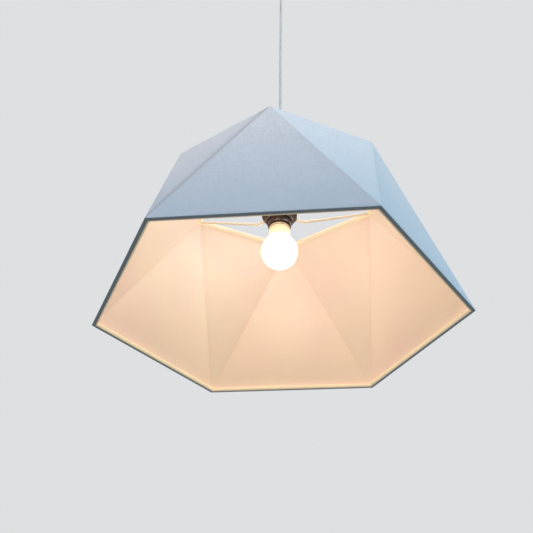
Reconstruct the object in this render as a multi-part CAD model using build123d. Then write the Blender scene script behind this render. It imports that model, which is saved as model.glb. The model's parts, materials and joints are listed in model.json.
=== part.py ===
from build123d import *
import math
import os

# A pendant light: a six-sided faceted shade on three wire arms, a lampholder with its bulb, a cord and a
# ceiling cup. Millimetres, +Z up. The origin is the centre of the face that meets the ceiling. A height is
# measured up from the shade's lower rim, and a depth down from the ceiling.

# Hang and shade
RIM_BELOW_CEILING = 940.0
SIDES = 6
SHADE_BOTTOM_R = 300.0  # axis to a lower corner
SHADE_TOP_R = 185.0  # axis to an upper corner
SHADE_HEIGHT = 277.0
FABRIC = 0.5
PANEL = 1.0
FOLD_GAP = 0.6  # between two liner panels at a fold
RING_WIRE_R = 2.0
RING_BEND_R = 4.0  # centre line of the wire at a corner
HEM = 0.9  # rolled fabric under and inside the ring wire
HEM_TUCK = 1.5  # above the roll, where the hem is glued to the liner
SEAT = 0.05  # between parts that lie in each other
RUNNING = 0.1  # between parts that slide or turn in each other, radial
BEYOND = 1.0  # how far a cut runs past what it cuts

# Spider
ARM_WIRE_R = 2.0
ARM_BEND_R = 5.0
ARM_KINK_OUT = 14.0  # the kink out of the fitter ring's edge
ARM_KINK_DROP = 1.5  # the kink below the arm's end
FITTER_PROUD = 1.0  # past the shade ring's flange
FITTER_THICKNESS = 1.5
FITTER_SLACK = 1.2  # round the holder's thread
ARM_END_SLACK = 1.7  # arm's end to the holder's flange

# Lampholder, built outward from the bulb's screw cap
LIP_HEIGHT = 181.0
SHELL_SLACK = 0.15  # round the bulb's thread
SHELL_WALL = 0.5
INSERT_WALL = 1.15
SKIRT_WALL = 4.8  # up to the outside of the thread
SKIRT_LIP = 1.0
RING_ABOVE_LIP = 9.5
SHADE_RING_HEIGHT = 14.0
SHADE_RING_WALL = 3.6
SHADE_RING_FLANGE_OUT = 6.5  # past the collar
SHADE_RING_FLANGE = 2.5
SHADE_RING_CONE = 4.5
FLANGE_OUT = 3.7  # past the thread
FLANGE = 3.0
BODY_OUT = 1.7  # past the thread
HOLDER_BODY = 6.0
CAP_WALL = 2.2
CAP_STRAIGHT = 9.0
CAP_CONE = 13.0
CAP_NECK_WALL = 2.55
CAP_NECK = 9.0
BUSH_WALL = 2.95
BUSH_PROUD = 2.5
BUSH_DEPTH = 14.0  # from its top face down into the cap
INSERT_FLOOR = 9.5
SHELL_FLANGE_WIDTH = 3.15
SHELL_FLANGE = 0.6
POST_R = 1.0
LIVE_X = 8.0
TERMINAL = 6.0
TERMINAL_SCREW_R = 1.2
TERMINAL_SCREW_BITE = 2.0
TERMINAL_SCREW_PROUD = 1.2
LEAF = 0.5
LEAF_WIDTH = 6.0
CONTACT_GAP = 0.2

# Bulb
COLLAR_BELOW_LIP = 0.5
BULB_BODY = 81.5  # collar's top face to the globe's bottom
GLOBE_R = 30.0
GLOBE_WALL = 1.2
GLOBE_TANGENT = 35.0  # degrees above the equator, where the round turns into the cone
COLLAR_OUT = 4.6  # past the screw cap
COLLAR_WALL = 1.5
COLLAR_TOP_OUT = 1.2  # past the screw cap
MOUTH_NECK = 2.0
SCREW_CAP_R = 13.0
SCREW_CAP_WALL = 0.4
SCREW_CAP = 20.0
SCREW_CAP_CONE = 3.0
INSULATOR_R = 8.0
INSULATOR = 1.8
TIP_R = 4.5
TIP = 2.2
LED_COUNT = 8
LED_CIRCLE_R = 10.0
LED_SIZE = 3.0
LED_HEIGHT = 0.8
BOARD = 1.6
SPREADER_WALL = 0.8
DRIVER_SLACK = 3.2  # board's long edge to the spreader
CAN_R = 4.0
COIL_SIZE = (8.0, 6.0, 8.0)

# Cord
CORD_R = 2.6
CORE_R = 1.05
CORE_GAP = 0.2
CORD_SLIDE = 0.05  # cord to the bush's bore, radial
FLEX = 12.0  # between the two pivots below the gland
FLEX_GAP = 1.5  # flat end of the piece above, over a pivot
BOWL = 0.05  # round the ball end, radial

# Ceiling cup
CANOPY_R = 50.0
CANOPY_HEIGHT = 35.0
CANOPY_WALL = 1.6
CANOPY_EDGE_R = 5.0
CEILING_GAP = 0.3  # the cup's edge below the ceiling
BRACKET = 2.0
BRACKET_WIDTH = 24.0
EAR_DROP = 20.0
EAR_WIDTH = 12.0
EAR_SLACK = 0.5
SLOT_SPACING = 60.0
SLOT_WIDTH = 5.0
SLOT_LENGTH = 14.0
CABLE_HOLE_R = 6.0
SIDE_SCREW_R = 1.9
SIDE_SCREW_HEAD_R = 4.0
SIDE_SCREW_HEAD = 3.0
SIDE_SCREW_DEPTH = 12.0
GLAND_SLACK = 0.1  # cord to the gland's bore, radial
GLAND_SHANK_WALL = 2.3
GLAND_FLANGE_OUT = 1.0  # past the gland's body
GLAND_FLANGE = 3.0
GLAND_WALL = 4.3
GLAND_TIP_WALL = 2.8
GLAND_LENGTH = 20.0
GLAND_NUT_WALL = 2.0
GLAND_NUT = 4.0
GLAND_SHANK_PROUD = 2.2
GRIP_SCREW_R = 1.5
GRIP_GAP = 0.15  # screw's tip to the cord
STUB_PROUD = 1.0  # of the cord out of the gland's mouth
STUB_TAIL = 3.0  # of the sheath above the gland's shank

# Terminal block
BLOCK_X = 20.0
BLOCK_Y = 18.0
BLOCK_Z = 12.0
BLOCK_CENTRE_Y = 24.0
POLE_X = 5.0
TUBE_WALL = 1.15
TUBE_SLACK = 0.3  # round a core
TUBE_LENGTH = 15.0
TUBE_DEPTH = 9.0
BLOCK_SCREW_R = 1.5
BLOCK_SCREW_PITCH = 9.0
FIXING_HEAD_R = 2.8
FIXING_HEAD = 2.0
TAB_MARGIN = 3.0
CORE_TURN_R = 4.5

# Worked out from the values above
STEP = 360.0 / SIDES
HALF_COS = math.cos(math.radians(STEP / 2))
RIM_Z = -RIM_BELOW_CEILING
SHELL_R = SCREW_CAP_R + SHELL_SLACK + SHELL_WALL
INSERT_R = SHELL_R + RUNNING + INSERT_WALL
SKIRT_BORE_R = INSERT_R + RUNNING
SKIRT_R = SKIRT_BORE_R + SKIRT_WALL
HOLDER_BODY_R = SKIRT_R + BODY_OUT
FLANGE_R = SKIRT_R + FLANGE_OUT
SHADE_RING_BORE_R = SKIRT_R + RUNNING
SHADE_RING_COLLAR_R = SHADE_RING_BORE_R + SHADE_RING_WALL
SHADE_RING_FLANGE_R = SHADE_RING_COLLAR_R + SHADE_RING_FLANGE_OUT
FITTER_R = SHADE_RING_FLANGE_R + FITTER_PROUD
BUSH_BORE_R = CORD_R + CORD_SLIDE
BUSH_R = BUSH_BORE_R + BUSH_WALL
CAP_NECK_R = BUSH_R + SEAT + CAP_NECK_WALL
COLLAR_R = SCREW_CAP_R + COLLAR_OUT
MOUTH_R = COLLAR_R + GLOBE_WALL
NEUTRAL_X = SHELL_R - SHELL_FLANGE_WIDTH / 2
CORE_X = CORE_R + CORE_GAP / 2
TUBE_BORE_R = CORE_R + TUBE_SLACK
TUBE_R = TUBE_BORE_R + TUBE_WALL
GLAND_BORE_R = CORD_R + GLAND_SLACK
GLAND_R = GLAND_BORE_R + GLAND_WALL
GLAND_SHANK_R = GLAND_BORE_R + GLAND_SHANK_WALL
RING_HEIGHT = LIP_HEIGHT + RING_ABOVE_LIP
FITTER_HEIGHT = RING_HEIGHT + SHADE_RING_HEIGHT
FLANGE_HEIGHT = FITTER_HEIGHT + FITTER_THICKNESS
BODY_HEIGHT = FLANGE_HEIGHT + FLANGE
CAP_HEIGHT = BODY_HEIGHT + HOLDER_BODY
NECK_HEIGHT = CAP_HEIGHT + CAP_STRAIGHT + CAP_CONE
BUSH_TOP = NECK_HEIGHT + CAP_NECK + BUSH_PROUD
COLLAR_HEIGHT = LIP_HEIGHT - COLLAR_BELOW_LIP
INSULATOR_HEIGHT = COLLAR_HEIGHT + SCREW_CAP + SCREW_CAP_CONE
TIP_HEIGHT = INSULATOR_HEIGHT + INSULATOR
CONTACT_HEIGHT = TIP_HEIGHT + TIP + CONTACT_GAP
FLOOR_HEIGHT = CONTACT_HEIGHT + LEAF
TERMINAL_HEIGHT = FLOOR_HEIGHT + INSERT_FLOOR
CORD_END_HEIGHT = BUSH_TOP - BUSH_DEPTH
GLOBE_CENTRE = COLLAR_HEIGHT - BULB_BODY + GLOBE_R
GLAND_MOUTH = CANOPY_HEIGHT + GLAND_LENGTH
FIRST_PIVOT = GLAND_MOUTH + STUB_PROUD + FLEX_GAP
SECOND_PIVOT = FIRST_PIVOT + FLEX
SHANK_TOP = CANOPY_HEIGHT - CANOPY_WALL - GLAND_NUT - GLAND_SHANK_PROUD
STUB_TOP = SHANK_TOP - STUB_TAIL

parts = {}


def at(radius, azimuth, height):
    """A point by its distance from the axis, its azimuth in degrees and its height above the rim."""
    angle = math.radians(azimuth)
    return Vector(radius * math.cos(angle), radius * math.sin(angle), RIM_Z + height)


def turned(points):
    """A solid turned about Z from an outline of (radius, z) points."""
    outline = make_face(Polyline(*points, close=True))
    return revolve(Plane.XZ * outline, Axis.Z)


def above_rim(points):
    """The same outline, given by heights above the rim."""
    return [(radius, RIM_Z + height) for radius, height in points]


def tube(outer, inner, low, high):
    """A plain tube between two z."""
    return turned([(inner, low), (outer, low), (outer, high), (inner, high)])


def rod(points, radius, bend=0.0):
    """A round wire along straight runs, joined by arcs of the bend radius."""
    points = [Vector(*point) for point in points]
    path = FilletPolyline(*points, radius=bend) if bend else Line(points[0], points[1])
    section = Plane(origin=path @ 0, z_dir=path % 0) * Circle(radius)
    return sweep(section, path=path)


def block(size, centre):
    """A box by its size and its centre."""
    return Pos(*centre) * Box(*size)


def add(name, *solids):
    """Files one named sub-part, of one solid or of several separate ones."""
    parts[name] = solids[0] if len(solids) == 1 else Compound(children=list(solids))


# The shade's twelve facets. A lower one stands on the bottom edge and an upper one hangs from the top edge.
def lower_corner(k):
    return at(SHADE_BOTTOM_R, k * STEP, 0)


def upper_corner(k):
    return at(SHADE_TOP_R, (k + 0.5) * STEP, SHADE_HEIGHT)


def lower_facet(k):
    along = lower_corner(k + 1) - lower_corner(k)
    rise = upper_corner(k) - lower_corner(k)
    return Plane(origin=lower_corner(k), z_dir=along.cross(rise))


def upper_facet(k):
    along = upper_corner(k) - upper_corner(k - 1)
    rise = upper_corner(k) - lower_corner(k)
    return Plane(origin=lower_corner(k), z_dir=along.cross(rise))


def inside_shade(inset, low=0.0, high=SHADE_HEIGHT):
    """All that lies inside the facets once each is moved in by the inset, between two heights."""
    blank = 4 * max(SHADE_BOTTOM_R, SHADE_TOP_R)
    body = block((blank, blank, high - low), (0, 0, RIM_Z + (low + high) / 2))
    for k in range(SIDES):
        for facet in (lower_facet(k), upper_facet(k)):
            body = split(body, bisect_by=facet.offset(-inset), keep=Keep.BOTTOM)
    return body


def between_folds(plate, facet, neighbours, edges):
    """Trims a plate half a gap from its folds and from the upright planes through its base corners."""
    for neighbour, point in neighbours:
        fold = Plane(origin=point, z_dir=facet.z_dir - neighbour.z_dir)
        plate = split(plate, bisect_by=fold.offset(FOLD_GAP / 2), keep=Keep.TOP)
    for azimuth, turn in edges:
        angle = math.radians(azimuth + turn)
        upright = Plane(origin=(0, 0, 0), z_dir=(math.cos(angle), math.sin(angle), 0))
        plate = split(plate, bisect_by=upright.offset(FOLD_GAP / 2), keep=Keep.TOP)
    return plate


lined = inside_shade(FABRIC, HEM, SHADE_HEIGHT - HEM)
for k in range(SIDES):
    low, high, inner = lower_facet(k), upper_facet(k), FABRIC + PANEL
    plate = split(lined, bisect_by=low.offset(-inner), keep=Keep.TOP)
    folds = [(upper_facet(k), lower_corner(k)), (upper_facet(k + 1), lower_corner(k + 1))]
    edges = [(k * STEP, 90), ((k + 1) * STEP, -90)]
    add(f"lower_panel_{k + 1}", between_folds(plate, low, folds, edges))
    plate = split(lined, bisect_by=high.offset(-inner), keep=Keep.TOP)
    folds = [(lower_facet(k - 1), lower_corner(k)), (lower_facet(k), lower_corner(k))]
    edges = [((k - 0.5) * STEP, 90), ((k + 0.5) * STEP, -90)]
    add(f"upper_panel_{k + 1}", between_folds(plate, high, folds, edges))
add("shade_fabric", inside_shade(0) - inside_shade(FABRIC, -BEYOND, SHADE_HEIGHT + BEYOND))


# Ring wires and hems. A slope is how far a facet moves out for each millimetre away from its own edge.
class Edge:
    """One edge of the shade, with its wire and its rolled hem."""

    def __init__(self, apothem, slope, azimuth, height, way):
        self.azimuth, self.height, self.way = azimuth, height, way
        lean = math.hypot(1, slope)
        self.depth = HEM + RING_WIRE_R
        inner = (FABRIC + PANEL + RING_WIRE_R + SEAT) * lean
        self.wire_apothem = apothem + slope * self.depth - inner
        self.corner_r = self.wire_apothem / HALF_COS
        self.tuck = self.depth + RING_WIRE_R + HEM + HEM_TUCK
        self.liner_at_tuck = apothem + slope * self.tuck - (FABRIC + PANEL) * lean
        self.wire_height = height + way * self.depth

    def corner_azimuth(self, k):
        return self.azimuth + (k + 0.5) * STEP

    def wire(self, radius):
        """Six straight runs and six bends, joined into one ring."""
        setback = RING_BEND_R * math.tan(math.radians(STEP / 2))
        solids = []
        for k in range(SIDES):
            ends = [at(self.corner_r, self.corner_azimuth(n), self.wire_height) for n in (k - 1, k)]
            along = (ends[1] - ends[0]).normalized()
            run = [ends[0] + along * setback, ends[1] - along * setback]
            solids.append(rod(run, radius))
            bend_r = self.corner_r - RING_BEND_R / HALF_COS
            centre = at(bend_r, self.corner_azimuth(k), self.wire_height)
            section = Plane(origin=run[1], z_dir=along) * Circle(radius)
            solids.append(revolve(section, Axis(centre, (0, 0, 1)), STEP))
        return solids[0].fuse(*solids[1:])

    def hem(self):
        """The rolled hem: closed under the liner and round the wire, and glued to the liner above it."""
        roll = RING_WIRE_R + HEM
        past_liner = self.liner_at_tuck + self.tuck + BEYOND
        outline = [
            (past_liner, 0),
            (self.wire_apothem, 0),
            (self.wire_apothem - roll, self.depth),
            (self.liner_at_tuck, self.tuck),
            (past_liner, self.tuck),
        ]
        section = Polygon(*outline, align=None) + Pos(self.wire_apothem, self.depth) * Circle(roll)
        reach = 2 * self.corner_r
        solids = []
        for k in range(SIDES):
            angle = math.radians(self.azimuth + k * STEP)
            outward = Vector(math.cos(angle), math.sin(angle), 0)
            inward = Vector(0, 0, self.way)
            plane = Plane(origin=(0, 0, RIM_Z + self.height), x_dir=outward, z_dir=outward.cross(inward))
            side = extrude(plane * section, amount=reach, both=True)
            for turn in (-1, 1):
                mitre = angle + turn * math.radians(STEP / 2 - 90)
                cut = Plane(origin=(0, 0, 0), z_dir=(math.cos(mitre), math.sin(mitre), 0))
                side = split(side, bisect_by=cut, keep=Keep.TOP)
            solids.append(side)
        whole = solids[0].fuse(*solids[1:])
        within = inside_shade(FABRIC + PANEL)
        low, high = sorted((self.height, self.height + self.way * HEM))
        return whole & (within + inside_shade(FABRIC, low, high))


bottom_apothem = SHADE_BOTTOM_R * HALF_COS
top_apothem = SHADE_TOP_R * HALF_COS
bottom_slope = (SHADE_TOP_R - bottom_apothem) / SHADE_HEIGHT
top_slope = (SHADE_BOTTOM_R - top_apothem) / SHADE_HEIGHT
bottom_edge = Edge(bottom_apothem, bottom_slope, STEP / 2, 0.0, 1)
top_edge = Edge(top_apothem, top_slope, 0.0, SHADE_HEIGHT, -1)

# Spider: three arms from every other corner of the top ring to the top of the fitter ring
arm_rest = FLANGE_HEIGHT + ARM_WIRE_R
arm_start_r = top_edge.corner_r - RING_BEND_R * (1 / HALF_COS - 1)
arm_end_r = FLANGE_R + ARM_END_SLACK


def spider_arm(azimuth, radius):
    route = [
        at(arm_start_r, azimuth, top_edge.wire_height),
        at(FITTER_R + ARM_KINK_OUT, azimuth, arm_rest - ARM_KINK_DROP),
        at(FITTER_R + ARM_WIRE_R, azimuth, arm_rest),
        at(arm_end_r, azimuth, arm_rest),
    ]
    return rod(route, radius, ARM_BEND_R)


arm_azimuths = [top_edge.corner_azimuth(k) for k in range(0, SIDES, 2)]
ring_room = top_edge.wire(RING_WIRE_R + SEAT / 2)
for number, azimuth in enumerate(arm_azimuths, 1):
    add(f"spider_arm_{number}", spider_arm(azimuth, ARM_WIRE_R) - ring_room)
arm_room = [spider_arm(azimuth, ARM_WIRE_R + SEAT) for azimuth in arm_azimuths]
add("bottom_ring", bottom_edge.wire(RING_WIRE_R))
add("top_ring", top_edge.wire(RING_WIRE_R))
add("bottom_hem", bottom_edge.hem() - bottom_edge.wire(RING_WIRE_R + SEAT))
add("top_hem", (top_edge.hem() - top_edge.wire(RING_WIRE_R + SEAT)) - arm_room)
add("fitter_ring", tube(FITTER_R, SKIRT_R + FITTER_SLACK, RIM_Z + FITTER_HEIGHT, RIM_Z + FLANGE_HEIGHT))

# Shade ring: a nut with a grip collar below and a wide flange under the fitter ring
cone_low = FITTER_HEIGHT - SHADE_RING_FLANGE - SHADE_RING_CONE
ring_outline = [
    (SHADE_RING_BORE_R, RING_HEIGHT),
    (SHADE_RING_COLLAR_R, RING_HEIGHT),
    (SHADE_RING_COLLAR_R, cone_low),
    (SHADE_RING_FLANGE_R, cone_low + SHADE_RING_CONE),
    (SHADE_RING_FLANGE_R, FITTER_HEIGHT),
    (SHADE_RING_BORE_R, FITTER_HEIGHT),
]
add("shade_ring", turned(above_rim(ring_outline)))

# Lampholder: threaded skirt with its flange, and the cap that closes it
skirt_outline = [
    (SKIRT_BORE_R - SKIRT_LIP, LIP_HEIGHT),
    (SKIRT_R, LIP_HEIGHT),
    (SKIRT_R, FLANGE_HEIGHT),
    (FLANGE_R, FLANGE_HEIGHT),
    (FLANGE_R, BODY_HEIGHT),
    (HOLDER_BODY_R, BODY_HEIGHT),
    (HOLDER_BODY_R, CAP_HEIGHT),
    (SKIRT_BORE_R, CAP_HEIGHT),
    (SKIRT_BORE_R, LIP_HEIGHT + SKIRT_LIP),
    (SKIRT_BORE_R - SKIRT_LIP, LIP_HEIGHT + SKIRT_LIP),
]
add("holder_skirt", turned(above_rim(skirt_outline)))
cap_outline = [
    (HOLDER_BODY_R - CAP_WALL, CAP_HEIGHT),
    (HOLDER_BODY_R, CAP_HEIGHT),
    (HOLDER_BODY_R, CAP_HEIGHT + CAP_STRAIGHT),
    (CAP_NECK_R, NECK_HEIGHT),
    (CAP_NECK_R, NECK_HEIGHT + CAP_NECK),
    (BUSH_R + SEAT, NECK_HEIGHT + CAP_NECK),
    (BUSH_R + SEAT, NECK_HEIGHT - CAP_WALL),
    (HOLDER_BODY_R - CAP_WALL, CAP_HEIGHT + CAP_STRAIGHT - CAP_WALL / 2),
]
bush_outline = [
    (BUSH_BORE_R, CORD_END_HEIGHT),
    (BUSH_R, CORD_END_HEIGHT),
    (BUSH_R, NECK_HEIGHT + CAP_NECK),
    (CAP_NECK_R - CAP_WALL / 2, NECK_HEIGHT + CAP_NECK),
    (BUSH_BORE_R + CAP_WALL / 2, BUSH_TOP),
    (BUSH_BORE_R, BUSH_TOP),
]
bush_screw_z = RIM_Z + NECK_HEIGHT + CAP_NECK / 2
bush_screw_reach = [CORD_R + GRIP_GAP, CAP_NECK_R + GRIP_SCREW_R]


def radial_screw(reach, z, radius):
    """A headless screw along +Y between two distances from the axis."""
    return rod([(0, reach[0], z), (0, reach[1], z)], radius)


screw_room = radial_screw([0, bush_screw_reach[1]], bush_screw_z, GRIP_SCREW_R + SEAT)
add("holder_cap", turned(above_rim(cap_outline)) - screw_room)
add("cord_bush", turned(above_rim(bush_outline)) - screw_room)
add("bush_screw", radial_screw(bush_screw_reach, bush_screw_z, GRIP_SCREW_R))

# Inside the holder: ceramic insert, screw shell, contacts and terminals
insert_outline = [
    (SHELL_R + RUNNING, LIP_HEIGHT + SKIRT_LIP),
    (INSERT_R, LIP_HEIGHT + SKIRT_LIP),
    (INSERT_R, TERMINAL_HEIGHT),
    (0, TERMINAL_HEIGHT),
    (0, FLOOR_HEIGHT),
    (SHELL_R + RUNNING, FLOOR_HEIGHT),
]


def post(x, low, high, radius=POST_R):
    """A round post beside the axis, between two heights."""
    return rod([(x, 0, RIM_Z + low), (x, 0, RIM_Z + high)], radius)


live_room = post(LIVE_X, FLOOR_HEIGHT, TERMINAL_HEIGHT, POST_R + SEAT)
neutral_room = post(-NEUTRAL_X, FLOOR_HEIGHT, TERMINAL_HEIGHT, POST_R + SEAT)
add("socket_insert", turned(above_rim(insert_outline)) - live_room - neutral_room)
flange_top = CONTACT_HEIGHT - CONTACT_GAP - TIP / 2
shell_low = LIP_HEIGHT + 2 * SKIRT_LIP
shell_outline = [
    (SHELL_R - SHELL_WALL, shell_low),
    (SHELL_R, shell_low),
    (SHELL_R, flange_top),
    (SHELL_R - SHELL_FLANGE_WIDTH, flange_top),
    (SHELL_R - SHELL_FLANGE_WIDTH, flange_top - SHELL_FLANGE),
    (SHELL_R - SHELL_WALL, flange_top - SHELL_FLANGE),
]
add("screw_shell", turned(above_rim(shell_outline)) + post(-NEUTRAL_X, flange_top, TERMINAL_HEIGHT))
leaf_size = (LIVE_X + POST_R + TIP_R, LEAF_WIDTH, LEAF)
leaf = block(leaf_size, ((LIVE_X + POST_R - TIP_R) / 2, 0, RIM_Z + CONTACT_HEIGHT + LEAF / 2))
add("centre_contact", leaf + post(LIVE_X, FLOOR_HEIGHT, TERMINAL_HEIGHT))


def terminal(x, side):
    """A brass block on the insert, with its clamping screw on the outer side."""
    middle = RIM_Z + TERMINAL_HEIGHT + TERMINAL / 2
    face = x + side * TERMINAL / 2
    brass = block((TERMINAL, TERMINAL, TERMINAL), (x, 0, middle))
    inner, outer = face - side * TERMINAL_SCREW_BITE, face + side * TERMINAL_SCREW_PROUD
    along = [(inner, 0, middle), (outer, 0, middle)]
    return brass - rod(along, TERMINAL_SCREW_R + SEAT), rod(along, TERMINAL_SCREW_R)


live_terminal, live_screw = terminal(LIVE_X, 1)
neutral_terminal, neutral_screw = terminal(-NEUTRAL_X, -1)
add("live_terminal", live_terminal)
add("neutral_terminal", neutral_terminal)
add("holder_terminal_screws", live_screw, neutral_screw)


def holder_core(x):
    """One insulated core from the cord's end to its terminal. Each end is straight for a quarter."""
    start = math.copysign(CORE_X, x)
    top, foot = RIM_Z + CORD_END_HEIGHT, RIM_Z + TERMINAL_HEIGHT + TERMINAL
    quarter = (top - foot) / 4
    route = [(start, 0, top), (start, 0, top - quarter), (x, 0, foot + quarter), (x, 0, foot)]
    return rod(route, CORE_R, quarter)


add("holder_live_core", holder_core(LIVE_X))
add("holder_neutral_core", holder_core(-NEUTRAL_X))

# Bulb: globe, collar, screw cap, insulator and tip, with the board and driver inside
tangent = math.radians(GLOBE_TANGENT)
cone_rise = (GLOBE_R * math.cos(tangent) - MOUTH_R) / math.tan(tangent)
mouth_height = GLOBE_CENTRE + GLOBE_R * math.sin(tangent) + cone_rise + MOUTH_NECK


def globe_solid(inset, top):
    """The globe filled: a round, a cone that leaves it at a tangent, and a short neck."""
    radius = GLOBE_R - inset
    centre = RIM_Z + GLOBE_CENTRE
    low, high = -math.pi / 2, tangent
    middle = (low + high) / 2
    points = [(radius * math.cos(a), centre + radius * math.sin(a)) for a in (low, middle, high)]
    neck = (MOUTH_R - inset, RIM_Z + mouth_height - MOUTH_NECK)
    rest = Polyline(points[2], neck, (neck[0], RIM_Z + top), (0, RIM_Z + top), points[0])
    return revolve(Plane.XZ * make_face([ThreePointArc(*points), *rest.edges()]), Axis.Z)


add("bulb_globe", globe_solid(0, mouth_height) - globe_solid(GLOBE_WALL, mouth_height + BEYOND))
board_r = COLLAR_R - COLLAR_WALL - SEAT
collar_outline = [
    (COLLAR_R - COLLAR_WALL, mouth_height),
    (MOUTH_R, mouth_height),
    (COLLAR_R, mouth_height + 2 * MOUTH_NECK),
    (COLLAR_R, COLLAR_HEIGHT - MOUTH_NECK),
    (SCREW_CAP_R + COLLAR_TOP_OUT, COLLAR_HEIGHT),
    (SCREW_CAP_R - SCREW_CAP_WALL, COLLAR_HEIGHT),
    (SCREW_CAP_R - SCREW_CAP_WALL, COLLAR_HEIGHT - COLLAR_WALL),
    (COLLAR_R - COLLAR_WALL, COLLAR_HEIGHT - COLLAR_WALL - MOUTH_NECK),
]
add("bulb_collar", turned(above_rim(collar_outline)))
cap_top = COLLAR_HEIGHT + SCREW_CAP
cap_shell = [
    (SCREW_CAP_R - SCREW_CAP_WALL, COLLAR_HEIGHT),
    (SCREW_CAP_R, COLLAR_HEIGHT),
    (SCREW_CAP_R, cap_top),
    (INSULATOR_R, INSULATOR_HEIGHT),
    (INSULATOR_R - SCREW_CAP_WALL, INSULATOR_HEIGHT),
    (SCREW_CAP_R - SCREW_CAP_WALL, cap_top - SCREW_CAP_WALL),
]
add("bulb_screw_cap", turned(above_rim(cap_shell)))
insulator_outline = [
    (0, INSULATOR_HEIGHT),
    (INSULATOR_R, INSULATOR_HEIGHT),
    (TIP_R + SCREW_CAP_WALL, TIP_HEIGHT),
    (0, TIP_HEIGHT),
]
add("bulb_insulator", turned(above_rim(insulator_outline)))
tip_outline = [
    (0, TIP_HEIGHT),
    (TIP_R, TIP_HEIGHT),
    (TIP_R, TIP_HEIGHT + TIP / 2),
    (TIP_R / 2, TIP_HEIGHT + TIP),
    (0, TIP_HEIGHT + TIP),
]
add("bulb_tip", turned(above_rim(tip_outline)))
add("led_board", Pos(0, 0, RIM_Z + mouth_height + BOARD / 2) * Cylinder(board_r, BOARD))
chips = []
for k in range(LED_COUNT):
    azimuth = k * 360 / LED_COUNT
    spot = at(LED_CIRCLE_R, azimuth, mouth_height - LED_HEIGHT / 2)
    chips.append(Pos(*spot) * Rot(0, 0, azimuth) * Box(LED_SIZE, LED_SIZE, LED_HEIGHT))
add("led_chips", *chips)
spreader_low = mouth_height + BOARD
spreader_high = COLLAR_HEIGHT - COLLAR_WALL - 2 * MOUTH_NECK
add("heat_spreader", tube(board_r, board_r - SPREADER_WALL, RIM_Z + spreader_low, RIM_Z + spreader_high))
driver_size = (2 * (board_r - SPREADER_WALL - DRIVER_SLACK), BOARD, spreader_high - spreader_low)
driver_middle = RIM_Z + (spreader_low + spreader_high) / 2
add("driver_board", block(driver_size, (0, 0, driver_middle)))
can = rod([(0, BOARD / 2, driver_middle), (0, BOARD / 2 + 2 * CAN_R, driver_middle)], CAN_R)
coil = block(COIL_SIZE, (0, -(BOARD + COIL_SIZE[1]) / 2, driver_middle))
add("driver_parts", can, coil)


# Cord: the end in the gland, the short piece between the two pivots, and the long straight drop
def ball_ended(pivot, low):
    """A round cord from a ball end at a pivot down to a flat end."""
    length = low - pivot
    return Pos(0, 0, -pivot - length / 2) * Cylinder(CORD_R, length) + Pos(0, 0, -pivot) * Sphere(CORD_R)


def bowl(pivot):
    return Pos(0, 0, -pivot) * Sphere(CORD_R + BOWL)


cord_end = -(RIM_Z + CORD_END_HEIGHT)
stub_low = GLAND_MOUTH + STUB_PROUD
add("cord_stub", rod([(0, 0, -STUB_TOP), (0, 0, -stub_low)], CORD_R) - bowl(FIRST_PIVOT))
add("cord_flex", ball_ended(FIRST_PIVOT, SECOND_PIVOT - FLEX_GAP) - bowl(SECOND_PIVOT))
add("cord_drop", ball_ended(SECOND_PIVOT, cord_end))

# Ceiling cup and its bracket
cup_low = -CANOPY_HEIGHT
cup = Pos(0, 0, (cup_low - CEILING_GAP) / 2) * Cylinder(CANOPY_R, CANOPY_HEIGHT - CEILING_GAP)
cup = fillet(cup.edges().group_by(Axis.Z)[0], CANOPY_EDGE_R)
inner_r = CANOPY_R - CANOPY_WALL
hollow = Pos(0, 0, cup_low / 2 + CANOPY_WALL) * Cylinder(inner_r, CANOPY_HEIGHT)
hollow = fillet(hollow.edges().group_by(Axis.Z)[0], CANOPY_EDGE_R - CANOPY_WALL)
gland_hole = Pos(0, 0, cup_low) * Cylinder(GLAND_SHANK_R + RUNNING, 4 * CANOPY_WALL)


def side_screw(side, radius, near, far):
    depth = -SIDE_SCREW_DEPTH
    return rod([(side * near, 0, depth), (side * far, 0, depth)], radius)


ear_face = math.sqrt(inner_r**2 - (EAR_WIDTH / 2) ** 2) - EAR_SLACK
ear_inner = ear_face - BRACKET
screw_holes = [side_screw(side, SIDE_SCREW_R + RUNNING, ear_face, CANOPY_R) for side in (-1, 1)]
add("canopy_cup", (cup - hollow - gland_hole) - screw_holes)
tab_end = BLOCK_CENTRE_Y + BLOCK_Y / 2 + TAB_MARGIN
tab_width = BLOCK_X + 2 * TAB_MARGIN
bar = block((2 * ear_face, BRACKET_WIDTH, BRACKET), (0, 0, -BRACKET / 2))
bar &= Pos(0, 0, -BRACKET / 2) * Cylinder(inner_r - EAR_SLACK, 2 * BRACKET)
tab = block((tab_width, tab_end, BRACKET), (0, tab_end / 2, -BRACKET / 2))
bracket = bar + tab
for side in (-1, 1):
    bracket += block((BRACKET, EAR_WIDTH, EAR_DROP), (side * (ear_face - BRACKET / 2), 0, -EAR_DROP / 2))
    slot = Pos(side * SLOT_SPACING / 2, 0, -BRACKET) * SlotOverall(SLOT_LENGTH, SLOT_WIDTH)
    bracket -= extrude(slot, amount=2 * BRACKET)
    bracket -= side_screw(side, SIDE_SCREW_R, ear_inner, ear_face)
bracket -= Pos(0, 0, -BRACKET / 2) * Cylinder(CABLE_HOLE_R, 2 * BRACKET)
block_floor = -BRACKET - BLOCK_Z


def block_rod(high, low, radius):
    """A round rod down the middle of the terminal block."""
    return rod([(0, BLOCK_CENTRE_Y, high), (0, BLOCK_CENTRE_Y, low)], radius)


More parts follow.
